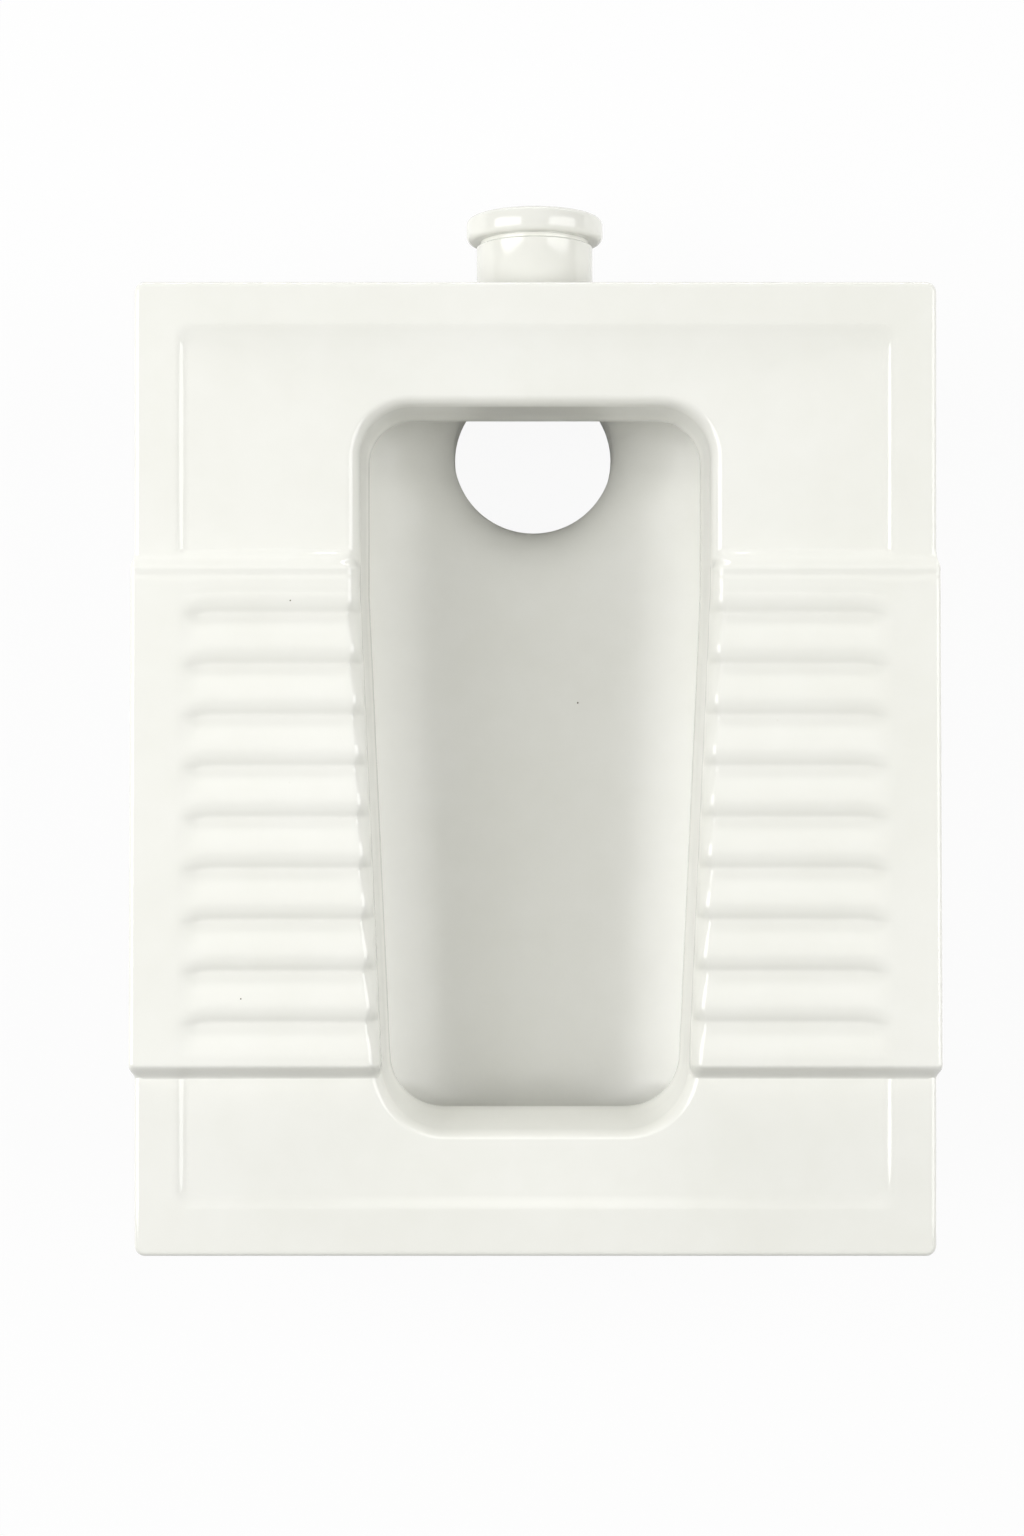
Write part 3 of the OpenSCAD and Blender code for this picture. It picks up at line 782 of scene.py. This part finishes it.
class Trough:
    """The bowl's inner surface, as a height over every place in plan."""

    def __init__(self, settings):
        self.plan = Plan(settings)
        sizes = settings.bowl
        mouth = settings.mouth
        self.sizes = sizes
        self.rim_z = RIM_LOW.z
        self.out = sizes.rim_wall + sizes.channel
        self.front = -mouth.front - self.out + sizes.front_round
        # The floor's middle line ends a little in front of the outlet's middle
        self.back = sizes.outlet_back - 0.010
        self.wall = self.plan.mouth(self.out, self.out, self.out, 0.0)
        self.middle_back = self.wall[0].y

    def floor_z(self, y):
        """Height of the floor's middle line."""
        sizes = self.sizes
        share = clamp((y - self.front) / (self.back - self.front))
        # Past this share of the way the fall eases off
        flat = 0.85
        fall = share ** 2 - max(0.0, share - flat) ** 2 / (1.0 - flat)
        return sizes.floor_front - (sizes.floor_front - sizes.floor_back) * fall / flat

    def reach(self, x, y):
        """Share of the way from the trough's middle line to its wall."""
        if self.front <= y <= self.back:
            return x / self.plan.mouth_x(self.out, y)
        spine = Vector((0.0, self.front if y < self.front else self.back))
        ray = Vector((x, y)) - spine
        if ray.length < 1e-9:
            return 0.0
        return ray.length / self.wall_hit(spine, ray.normalized())

    def wall_hit(self, start, direction):
        """Distance from a point on the middle line to the wall in a direction."""
        best = None
        for a, b in zip(self.wall, self.wall[1:]):
            edge = Vector((b.x - a.x, b.y - a.y))
            across = direction.x * edge.y - direction.y * edge.x
            if abs(across) < 1e-12:
                continue
            gap = Vector((a.x, a.y)) - start
            far = (gap.x * edge.y - gap.y * edge.x) / across
            along = (gap.x * direction.y - gap.y * direction.x) / across
            if far > 0.0 and -1e-6 <= along <= 1.0 + 1e-6 and (best is None or far < best):
                best = far
        return best

    def height(self, x, y, drop=0.0, most=1.0):
        """Height of the trough's surface, or of one whose floor lies lower by drop."""
        reach = clamp(self.reach(x, y), 0.0, most)
        fullness = self.sizes.fullness
        low = self.floor_z(y) - drop
        rise = 1.0 - max(0.0, 1.0 - reach ** fullness) ** (1.0 / fullness)
        return low + (self.rim_z - low) * rise

    def under(self, x, y):
        """Height of the bowl's underside, kept a little inside its wall."""
        return self.height(abs(x), y, drop=self.sizes.wall, most=0.98)


class PAN_OT_bowl(Operator):
    """Makes the trough of the bowl with the rounded edge of its outlet"""
    bl_idname = "squat_pan.bowl"
    bl_label = "Bowl"

    def execute(self, context):
        trough = Trough(context.scene.squat_pan)
        columns = [self.section(trough, point) for point in trough.wall]
        rows = [[column[i] for column in columns] for i in range(len(columns[0]))]
        bm = whole(rows)
        tidy(bm)
        # The window through which the duct's water gets into the rim
        window_half = 0.044
        window = []
        for face in bm.faces:
            middle = face.calc_center_median()
            at_back = middle.y > trough.middle_back - 0.001
            if at_back and abs(middle.x) < window_half and middle.z > self.window_z:
                window.append(face)
        bmesh.ops.delete(bm, geom=window, context="FACES")
        bmesh.ops.recalc_face_normals(bm, faces=bm.faces)
        # A face of the trough's floor tells which way the skin looks
        on_floor = Vector((0.0, 0.05, 0.08))
        floor = min(bm.faces, key=lambda face: (face.calc_center_median() - on_floor).length)
        if floor.normal.z < 0.0:
            bmesh.ops.reverse_faces(bm, faces=bm.faces)
        bmesh.ops.solidify(bm, geom=bm.faces[:], thickness=trough.sizes.wall)
        self.ease_corners(bm, trough)
        finish_piece(context, bm, "trough_bowl", "bowl")
        return {"FINISHED"}

    def ease_corners(self, bm, trough):
        """Smooths the outside of the shell in the tight front corners, where its thickness would fold."""
        front = -0.190
        side = 0.095
        low = 0.100
        high = 0.142
        # The outside lies at least this far under the trough's surface
        depth = 0.004
        rounds = 14
        tight = [
            vert for vert in bm.verts
            if vert.co.y < front and abs(vert.co.x) > side and low < vert.co.z < high
            and trough.height(abs(vert.co.x), vert.co.y) - vert.co.z > depth]
        for _ in range(rounds):
            bmesh.ops.smooth_vert(
                bm, verts=tight, factor=0.5, use_axis_x=True, use_axis_y=True, use_axis_z=True)

    @property
    def window_z(self):
        """Height of the window's lower edge."""
        return RIM_LOW.z + 0.009

    def section(self, trough, wall):
        """One upright section from the outlet's lower edge out to the top of the wall."""
        sizes = trough.sizes
        bore = sizes.outlet_bore
        spigot_top = SPIGOT_HIGH.z
        centre = Vector((0.0, sizes.outlet_back))
        ray = Vector((wall.x, wall.y)) - centre
        reach = ray.length
        ray.normalize()

        def at(r, z):
            place = centre + ray * r
            return Vector((max(0.0, place.x), place.y, z))

        def trough_z(r):
            place = centre + ray * r
            return trough.height(max(0.0, place.x), place.y)

        # The outlet's rounded edge reaches up to this height at most, and stays off the wall
        high = 0.100
        off_wall = 0.93
        edge_r = min(bore + sizes.flare, reach * off_wall)
        if trough_z(edge_r) > high:
            low_r = 0.0
            high_r = edge_r
            for _ in range(30):
                middle = (low_r + high_r) / 2
                if trough_z(middle) > high:
                    high_r = middle
                else:
                    low_r = middle
            edge_r = low_r
        edge_z = trough_z(edge_r)
        small = 0.001
        slope = (trough_z(edge_r) - trough_z(edge_r - small)) / small
        start_z = spigot_top + small
        bend_z = min(edge_z, max(start_z, edge_z - slope * (edge_r - bore)))
        column = [at(bore, spigot_top), at(bore, start_z)]
        for share in steps(0.0, 1.0, 20):
            column.append(at(roll(bore, bore, edge_r, share), roll(start_z, bend_z, edge_z, share)))
        for share in steps(0.0, 1.0, 40):
            r = edge_r + (reach - edge_r) * math.sin(share * math.pi / 2)
            z = trough_z(r) if share < 1.0 else trough.rim_z
            column.append(at(r, z))
        for z in (self.window_z, RIM_HIGH.z):
            column.append(at(reach, z))
        return column


# ---- Outlet, inlet and duct ----

def spun(bm, profile, centre, axis, count):
    """Spins a drawn profile once round an axis."""
    row = draw_row(bm, profile)
    bmesh.ops.contextual_create(bm, geom=[row[-1], row[0]])
    edges = bm.edges[:]
    bmesh.ops.spin(
        bm, geom=row + edges, cent=centre, axis=axis, angle=math.tau, steps=count,
        use_merge=True, use_normal_flip=False, use_duplicate=False)


def corner(cx, cy, radius, start, end, count=4):
    """Points on a rounding, in degrees, as pairs."""
    return [
        (cx + radius * math.cos(math.radians(a)), cy + radius * math.sin(math.radians(a)))
        for a in [start] + steps(start, end, count)]


class PAN_OT_outlet(Operator):
    """Makes the waste outlet, a short pipe that points down"""
    bl_idname = "squat_pan.outlet"
    bl_label = "Waste outlet"

    def execute(self, context):
        sizes = context.scene.squat_pan.bowl
        low = SPIGOT_LOW.z
        high = SPIGOT_HIGH.z
        inner = sizes.outlet_bore
        outer = (SPIGOT_HIGH.x - SPIGOT_LOW.x) / 2
        edge = 0.0025
        straight = low + edge * 3.0
        section = [(inner, high), (inner, straight)]
        section += corner(inner + edge, low + edge, edge, 180.0, 270.0)
        section += corner(outer - edge, low + edge, edge, 270.0, 360.0)
        section += [(outer, straight), (outer, high)]
        bm = bmesh.new()
        centre = Vector((0.0, sizes.outlet_back, 0.0))
        profile = [Vector((r, sizes.outlet_back, z)) for r, z in section]
        spun(bm, profile, centre, axis=(0.0, 0.0, 1.0), count=128)
        finish_piece(context, bm, "outlet_pipe", "outlet_spigot")
        return {"FINISHED"}


class PAN_OT_inlet(Operator):
    """Makes the flush inlet: its neck and the collar on the neck's end"""
    bl_idname = "squat_pan.inlet"
    bl_label = "Flush inlet"

    def execute(self, context):
        axis_z = (NECK_LOW.z + NECK_HIGH.z) / 2
        bore = 0.0275
        neck = (NECK_HIGH.x - NECK_LOW.x) / 2
        start = NECK_LOW.y - DECK_Y
        end = NECK_HIGH.y - DECK_Y
        # The neck's root widens with this radius and goes this far into the duct
        root = 0.004
        sink = 0.001
        section = [(bore, end), (bore, start - sink), (neck + root, start - sink)]
        section += [(neck + falling, start + rising) for falling, rising in bends(root, 6)]
        # The shadow groove between the neck and the collar
        groove = 0.0022
        section += [(neck, end - groove * 1.6), (neck - groove, end - groove), (neck - groove, end)]
        self.turn(context, section, axis_z, "inlet_neck", "inlet_spigot")
        far = COLLAR_HIGH.y - DECK_Y
        radius = (COLLAR_HIGH.x - COLLAR_LOW.x) / 2
        soft = 0.004
        inner_soft = 0.002
        section = [(bore, end), (neck - groove * 1.5, end)]
        section += corner(radius - soft, end + soft, soft, -90.0, 0.0, 6)
        section += corner(radius - soft, far - soft, soft, 0.0, 90.0, 6)
        section += corner(bore + inner_soft, far - inner_soft, inner_soft, 90.0, 180.0, 4)
        self.turn(context, section, axis_z, "inlet_ring", "inlet_collar")
        return {"FINISHED"}

    def turn(self, context, section, axis_z, name, node):
        """Spins a section round the inlet's axis and finishes the piece."""
        bm = bmesh.new()
        profile = [Vector((r, y, axis_z)) for r, y in section]
        spun(bm, profile, Vector((0.0, 0.0, axis_z)), axis=(0.0, 1.0, 0.0), count=96)
        # The inlet's darker glaze is painted shade
        finish_piece(context, bm, name, node, material=INLET_PAINTED_SHADE)


def box_row(half_x, low_y, high_y, radius, z, count=5):
    """A closed row of points round a rectangle with round corners."""
    points = []
    for cx, cy, start in (
            (half_x - radius, high_y - radius, 0.0), (-half_x + radius, high_y - radius, 90.0),
            (-half_x + radius, low_y + radius, 180.0), (half_x - radius, low_y + radius, 270.0)):
        points += [Vector((x, y, z)) for x, y in corner(cx, cy, radius, start, start + 90.0, count)]
    return points


class PAN_OT_flush_duct(Operator):
    """Makes the hollow duct that leads from the inlet up to the rim"""
    bl_idname = "squat_pan.flush_duct"
    bl_label = "Flush duct"

    def execute(self, context):
        low = DUCT_LOW.z
        high = DUCT_HIGH.z
        half = (DUCT_HIGH.x - DUCT_LOW.x) / 2
        back = DUCT_HIGH.y - DECK_Y
        front = DUCT_LOW.y - DECK_Y
        wall = 0.009
        soft = 0.004
        wide_r = soft * 0.7
        tight_r = soft * 0.2
        # Beside the deck the duct is this much narrower
        side = 0.0002
        inset = 0.012
        rows = [box_row(half * 0.4, front + inset, back - inset, 0.002, low)]
        for shrink, lift in bends(soft, 5):
            rows.append(box_row(half - shrink, front + shrink, back - shrink, wide_r, low + lift))
        rows.append(box_row(half, front, back, wide_r, DECK_LOW.z - soft))
        rows.append(box_row(half - side, front, back, tight_r, DECK_LOW.z))
        rows.append(box_row(half - side, front, back, tight_r, high))
        rows.append(box_row(half - wall, front + wall, back - wall, wide_r, high))
        rows.append(box_row(half - wall, front + wall, back - wall, wide_r, low + wall + soft))
        rows.append(box_row(
            half - wall - soft, front + wall + soft, back - wall - soft, soft * 0.5, low + wall))
        finish_piece(context, box(rows), "duct_box", "flush_duct")
        return {"FINISHED"}


# ---- Foot and webs ----

class PAN_OT_front_foot(Operator):
    """Makes the hollow foot under the front of the bowl"""
    bl_idname = "squat_pan.front_foot"
    bl_label = "Front foot"

    def execute(self, context):
        settings = context.scene.squat_pan
        trough = Trough(settings)
        half = (FOOT_HIGH.x - FOOT_LOW.x) / 2
        back = FOOT_HIGH.y - DECK_Y
        front = FOOT_LOW.y - DECK_Y
        wall = 0.010
        radius = 0.014
        inner_r = 0.005
        edge = 0.002
        # The foot reaches this far into the bowl, with a fillet of this width and depth outside
        sink = 0.003
        fillet = 0.010
        fillet_deep = 0.014
        inner_drop = 0.006
        rows = []

        def ring(shrink, lift, corner_r, from_floor):
            row = box_row(half - shrink, front + shrink, back - shrink, corner_r, lift, 8)
            row = filled(row, 9, 12)
            if not from_floor:
                for point in row:
                    point.z = trough.under(point.x, point.y) + lift
            return row

        rows.append(ring(wall, 0.0, inner_r, False))
        for share in steps(1.0, 0.0, 5):
            rows.append(mix_rows(
                ring(wall, edge, inner_r, True), ring(wall, -inner_drop, inner_r, False), share))
        rows.append(ring(wall - edge * 0.3, edge * 0.3, 0.006, True))
        rows.append(ring(wall - edge, 0.0, 0.007, True))
        rows += [ring(shrink, lift, radius, True) for shrink, lift in bends(edge, 4)]
        for share in steps(0.0, 1.0, 6):
            rows.append(mix_rows(
                ring(0.0, edge, radius, True), ring(0.0, -fillet_deep, radius, False), share))
        for angle in quarter(6)[1:]:
            spread = fillet * (1.0 - math.cos(angle))
            rows.append(ring(
                -spread, -fillet_deep + (fillet_deep + sink) * math.sin(angle), radius + spread, False))
        rows.append(ring(wall, sink, inner_r, False))
        bm = bmesh.new()
        made = skin(bm, rows, closed=True)
        bmesh.ops.bridge_loops(bm, edges=loop_edges(bm, made[0]) + loop_edges(bm, made[-1]))
        finish_piece(context, bm, "hollow_foot", "front_foot", material=THIN, slot="thin_glaze")
        return {"FINISHED"}


def filled(row, corner_points, count):
    """A row round a rectangle with more points along its straight sides."""
    points = []
    for i, point in enumerate(row):
        points.append(point)
        if (i + 1) % corner_points == 0:
            following = row[(i + 1) % len(row)]
            points += [point.lerp(following, share) for share in steps(0.0, 1.0, count)[:-1]]
    return points


def loop_edges(bm, row):
    """The edges round a closed row."""
    return [bm.edges.get(pair) for pair in zip(row, row[1:] + row[:1])]


class PAN_OT_webs(Operator):
    """Makes the two webs that stiffen the deck beside the bowl"""
    bl_idname = "squat_pan.webs"
    bl_label = "Webs"

    def execute(self, context):
        right = self.draw_web(Trough(context.scene.squat_pan))
        finish_pair(context, right, "stiffening_web", "web", material=THIN, slot="thin_glaze")
        return {"FINISHED"}

    def draw_web(self, trough):
        """A plate that thickens where it is luted to the skirt and to the bowl."""
        middle = (WEB_LOW.y + WEB_HIGH.y) / 2 - DECK_Y
        thick = (WEB_HIGH.y - WEB_LOW.y) / 2
        high = WEB_HIGH.z
        low = WEB_LOW.z
        wall = trough.plan.mouth_x(trough.out, middle)
        # The web's inner end lies this far inside the bowl's wall, and both its ends thicken over a run
        sink = 0.004
        run = 0.010
        fillet = 0.006
        edge = 0.002
        inner = wall + trough.sizes.wall - sink
        outer = WEB_HIGH.x
        # Below this height the inner end follows the bowl's side, which draws in towards the floor
        straight_to = 0.147
        draw_in = 0.0136
        draw_height = 0.035
        rows = []
        places = [inner, inner + sink] + steps(inner + sink, inner + 0.014, 5)
        places += steps(inner + 0.014, outer - run, 6) + steps(outer - run, outer, 5)
        for x in places:
            near = min(x - inner - sink, outer - x) / run
            half = thick + fillet * (1.0 - math.sqrt(1.0 - (1.0 - clamp(near)) ** 2))
            share = clamp((x - inner - sink) / (outer - inner - sink))
            foot = low + (DECK_LOW.z - low) * share
            start = foot + edge * 3.0
            side = [start + (high - start) * part for part in (1.0, 0.5, 0.35, 0.2, 0.1, 0.0)]
            row = [(-half, z) for z in side]
            row += [(-half, foot + edge), (-half + edge * 0.3, foot + edge * 0.3)]
            row += [(-half + edge, foot), (half - edge, foot)]
            row += [(half - edge * 0.3, foot + edge * 0.3), (half, foot + edge)]
            row += [(half, z) for z in reversed(side)]
            free = 1.0 - clamp((x - inner) / (outer - inner))
            points = []
            for y, z in row:
                back = free * draw_in * (max(0.0, straight_to - z) / draw_height) ** 2
                points.append(Vector((x - back, middle + y, z)))
            rows.append(points)
        return box(rows)


# ---- Materials ----

# Height above the floor up to which the clay is bare
FOOT_CLAY = 0.0022
# Of each glaze its colour, roughness, height of the waves, and whether the skirt's edge is bare
GLAZES = {
    WHITE: ("white", 0.055, 0.0008, False),
    WHITE_SKIRT: ("white", 0.055, 0.0008, True),
    # The inlet's entry is the white glaze made darker: painted shade
    INLET_PAINTED_SHADE: ("inlet", 0.06, 0.0008, False),
    THIN: ("thin", 0.30, 0.0016, False),
}
# The kinds of light rays that the shaders tell apart, as outputs of their node
CAMERA_RAYS = 0
GLOSSY_RAYS = 3
THROUGH_RAYS = 6


class Number:
    """A socket that carries a number, on which arithmetic makes Math nodes."""

    def __init__(self, shader, socket):
        self.shader = shader
        self.socket = socket

    def math(self, operation, a, b=0.0):
        return self.shader.add("ShaderNodeMath", {"operation": operation}, {0: a, 1: b})

    def __add__(self, other):
        return self.math("ADD", self, other)

    def __radd__(self, other):
        return self.math("ADD", other, self)

    def __sub__(self, other):
        return self.math("SUBTRACT", self, other)

    def __rsub__(self, other):
        return self.math("SUBTRACT", other, self)

    def __mul__(self, other):
        return self.math("MULTIPLY", self, other)

    def __rmul__(self, other):
        return self.math("MULTIPLY", other, self)

    def __lt__(self, other):
        return self.math("LESS_THAN", self, other)

    def __gt__(self, other):
        return self.math("GREATER_THAN", self, other)

    def __abs__(self):
        return self.math("ABSOLUTE", self)

    def __or__(self, other):
        """One where either of two masks is one."""
        return self.math("MAXIMUM", self, other)


class Shader:
    """The node tree of a material or of the room, filled from one method."""

    def __init__(self, name, kind="materials"):
        self.owner = getattr(bpy.data, kind).new(name)
        self.owner.use_nodes = True
        self.tree = self.owner.node_tree
        self.tree.nodes.clear()

    def add(self, kind, settings=None, inputs=None, output=0):
        """Adds a node with its settings and the values or links of its sockets."""
        node = self.tree.nodes.new(kind)
        for key, value in (settings or {}).items():
            if key == "stops":
                for stop, (place, shade) in zip(self.stops(node, len(value)), value):
                    stop.position = place
                    stop.color = (shade, shade, shade, 1.0)
            else:
                setattr(node, key, value)
        for key, value in (inputs or {}).items():
            if isinstance(value, Number):
                self.tree.links.new(value.socket, node.inputs[key])
            elif isinstance(value, bpy.types.NodeSocket):
                self.tree.links.new(value, node.inputs[key])
            else:
                node.inputs[key].default_value = value
        socket = node.outputs[output] if len(node.outputs) else None
        return Number(self, socket)

    def stops(self, node, count):
        """As many stops on a colour ramp as are asked for."""
        ramp = node.color_ramp.elements
        while len(ramp) < count:
            ramp.new(0.5)
        return ramp

    def mix(self, share, a, b):
        """Mixes two colours."""
        return self.add("ShaderNodeMix", {"data_type": "RGBA"}, {0: share, 6: a, 7: b}, output=2)

    def place(self):
        """The place on the piece, in metres."""
        return self.add("ShaderNodeTexCoord", output=3)

    def split(self, kind, value, output=0):
        """One of the three numbers of a place (XYZ) or of a colour (Color)."""
        return self.add("ShaderNodeSeparate" + kind, None, {0: value}, output=output)

    def rays(self, kind):
        """One for light rays of a kind, and nought for the rest."""
        return self.add("ShaderNodeLightPath", output=kind)

    def noise(self, place, scale, detail=2.0, roughness=0.5):
        return self.add(
            "ShaderNodeTexNoise", None,
            {"Vector": place, "Scale": scale, "Detail": detail, "Roughness": roughness})

    def cells(self, place, scale, output=0):
        """Distance to the nearest of a scatter of points, or that point's random colour."""
        return self.add("ShaderNodeTexVoronoi", None, {"Vector": place, "Scale": scale}, output=output)

    def ramp(self, value, *stops):
        return self.add("ShaderNodeValToRGB", {"stops": stops}, {0: value})


def shade(colour, red=1.0, green=1.0, blue=1.0):
    """A colour with its three parts brought up or down."""
    return (colour[0] * red, colour[1] * green, colour[2] * blue, 1.0)


def glaze(context, name):
    """A fired glaze: soft waves, a drift of tone, pinholes, iron specks, and bare clay at its seats."""
    made = bpy.data.materials.get(name)
    if made:
        return made
    look = context.scene.squat_pan.glaze
    part, roughness, wave, skirt_edge = GLAZES[name]
    colour = getattr(look, part)
    shader = Shader(name)
    place = shader.place()
    drift = shader.noise(place, 7.0, 3.0, 0.55)
    mottle = shader.noise(place, 55.0, 4.0, 0.6)
    tone = shader.ramp(drift * 0.75 + mottle * 0.25, (0.34, 0.0), (0.66, 1.0))
    body = shader.mix(tone, shade(colour, 0.972, 0.972, 0.966), shade(colour, 1.016, 1.016, 1.024))
    # Few of the cells carry a speck, each of its own size
    chance = shader.cells(place, 34.0, output=1)
    pick = shader.split("Color", chance)
    size = shader.split("Color", chance, output=1)
    near = shader.cells(place, 34.0)
    speck = (pick > 0.86) * (near < size * 0.022 + 0.008)
    pit_pick = shader.split("Color", shader.cells(place, 60.0, output=1))
    pit = shader.ramp(shader.cells(place, 60.0), (0.02, 1.0), (0.05, 0.0)) * (pit_pick > 0.9)
    body = shader.mix(pit * 0.25, body, shade(colour, 0.80, 0.79, 0.76))
    body = shader.mix(speck, body, shade(look.speck))
    # The seats on which the pan was fired are bare clay, up to a ragged line
    height = shader.split("XYZ", place, output=2)
    uneven = 0.0016
    ragged = shader.noise(place, 90.0, 2.0, 0.5) * uneven
    bare = height < ragged + (FOOT_CLAY - uneven / 2)
    if skirt_edge:
        seat = (height > DECK_LOW.z - 0.0015) * (height < ragged + (DECK_LOW.z + 0.0004))
        bare = bare | seat
    grain = shader.noise(place, 900.0, 3.0, 0.6)
    clay = shader.mix(grain, shade(look.clay, 0.92, 0.92, 0.92), shade(look.clay, 1.06, 1.06, 1.06))
    body = shader.mix(bare, body, clay)
    # The glaze is duller down in the trough, where the water runs
    deep = shader.ramp(height * 5.0, (0.35, 1.0), (0.80, 0.0))
    gloss = drift * 0.05 + (roughness - 0.02) + pit * 0.08 + deep * 0.38
    gloss = gloss + bare * (0.62 - roughness)
    slow = shader.noise(place, 16.0, 1.5, 0.5)
    fine = shader.noise(place, 140.0, 2.0, 0.5)
    waves = slow * 1.0 + fine * 0.035 - pit * 0.05 + bare * grain * 0.05
    bump = shader.add("ShaderNodeBump", None, {"Strength": 1.0, "Distance": wave, "Height": waves})
    surface = shader.add("ShaderNodeBsdfPrincipled", None, {
        "Base Color": body, "Roughness": gloss, "IOR": 1.52, "Normal": bump})
    shader.add("ShaderNodeOutputMaterial", None, {0: surface})
    return shader.owner


# ---- Stage ----

def floor_material():
    """A pale floor that the camera sees as white paper, with the pan's shadow left on it."""
    shader = Shader("studio_floor")
    place = shader.place()
    grain = shader.noise(place, 400.0, 2.0, 0.5)
    tone = shader.mix(grain, (0.80, 0.80, 0.80, 1.0), (0.84, 0.84, 0.84, 1.0))
    matt = shader.add("ShaderNodeBsdfDiffuse", None, {"Color": tone})
    glow = shader.add("ShaderNodeEmission", None, {"Color": (1.0, 1.0, 1.0, 1.0), "Strength": 1.0})
    # The floor under the pan is no background: what mirrors it there shows it dark
    across = abs(shader.split("XYZ", place))
    along = abs(shader.split("XYZ", place, output=1))
    half_width = 0.24
    half_length = 0.30
    outside = (across > half_width) | (along > half_length)
    seen = shader.rays(CAMERA_RAYS) | shader.rays(GLOSSY_RAYS) * outside | shader.rays(THROUGH_RAYS)
    surface = shader.add("ShaderNodeMixShader", None, {0: seen * 0.93, 1: matt, 2: glow})
    shader.add("ShaderNodeOutputMaterial", None, {0: surface})
    return shader.owner


def studio_room(strength):
    """A dim room for the light on the pan, which the camera sees as white as the floor."""
    shader = Shader("studio_room", "worlds")
    seen = shader.rays(CAMERA_RAYS) | shader.rays(THROUGH_RAYS)
    white = 0.97
    level = seen * (white - strength) + strength
    light = shader.add("ShaderNodeBackground", None, {"Color": (1.0, 1.0, 1.0, 1.0), "Strength": level})
    shader.add("ShaderNodeOutputWorld", None, {0: light})
    return shader.owner


class PAN_OT_stage(Operator):
    """Makes the floor, the soft lamps and the camera above the pan"""
    bl_idname = "squat_pan.stage"
    bl_label = "Stage"

    def execute(self, context):
        look = context.scene.squat_pan.stage
        self.lay_floor(context)
        # Of each lamp its place, its width and height, and its power
        self.hang_lamp(context, "side_lamp_left", (-1.90, 0.08, 1.95), (1.8, 2.3), look.left_power)
        self.hang_lamp(context, "side_lamp_right", (1.90, 0.08, 1.95), (1.8, 2.3), look.right_power)
        self.hang_lamp(context, "low_lamp_back", (0.0, 2.60, 0.50), (4.0, 0.24), look.back_power)
        context.scene.world = studio_room(look.room)
        data = bpy.data.cameras.new("camera_above")
        data.lens = look.lens
        data.clip_start = 0.05
        camera = bpy.data.objects.new("camera_above", data)
        camera.location = (look.camera_x, DECK_Y + look.camera_y, look.camera_height)
        context.scene.collection.objects.link(camera)
        context.scene.camera = camera
        context.scene.view_settings.view_transform = "Standard"
        return {"FINISHED"}

    def lay_floor(self, context):
        """Lays the floor a hair below the pan's feet."""
        bm = bmesh.new()
        bmesh.ops.create_grid(bm, x_segments=8, y_segments=8, size=6.0)
        bmesh.ops.translate(bm, vec=(0.0, 0.0, -0.0003), verts=bm.verts)
        mesh = bpy.data.meshes.new("studio_floor")
        bm.to_mesh(mesh)
        bm.free()
        mesh.materials.append(floor_material())
        floor = bpy.data.objects.new("studio_floor", mesh)
        context.scene.collection.objects.link(floor)

    def hang_lamp(self, context, name, place, size, power):
        """Hangs a soft lamp. One at a side looks straight across, and the one behind at the middle."""
        data = bpy.data.lights.new(name, "AREA")
        data.shape = "RECTANGLE"
        data.size = size[0]
        data.size_y = size[1]
        data.energy = power
        data.cycles.max_bounces = 2
        lamp = bpy.data.objects.new(name, data)
        lamp.location = place
        aim = Vector((0.0, place[1] if place[0] else 0.0, 0.2)) - Vector(place)
        lamp.rotation_euler = aim.to_track_quat("-Z", "Y").to_euler()
        context.scene.collection.objects.link(lamp)


# ---- Panel and registration ----

PIECES = (
    PAN_OT_deck, PAN_OT_footrests, PAN_OT_flush_rim, PAN_OT_bowl, PAN_OT_outlet,
    PAN_OT_inlet, PAN_OT_flush_duct, PAN_OT_front_foot, PAN_OT_webs, PAN_OT_stage,
)


class PAN_PT_pieces(Panel):
    """Lists the pan's pieces in the order in which they are made"""
    bl_idname = "PAN_PT_pieces"
    bl_label = "Squat pan"
    bl_space_type = "VIEW_3D"
    bl_region_type = "UI"
    bl_category = "Squat pan"

    def draw(self, context):
        for piece in PIECES:
            self.layout.operator(piece.bl_idname)


CLASSES = (
    DeckSizes, MouthSizes, FootrestSizes, BowlSizes, GlazeLook, StageLook, PanSettings,
) + PIECES + (PAN_PT_pieces,)


def register():
    for cls in CLASSES:
        bpy.utils.register_class(cls)
    bpy.types.Scene.squat_pan = PointerProperty(type=PanSettings)


def unregister():
    del bpy.types.Scene.squat_pan
    for cls in reversed(CLASSES):
        bpy.utils.unregister_class(cls)


def main():
    register()
    for piece in PIECES:
        group, name = piece.bl_idname.split(".")
        getattr(getattr(bpy.ops, group), name)()


if __name__ == "__main__":
    main()
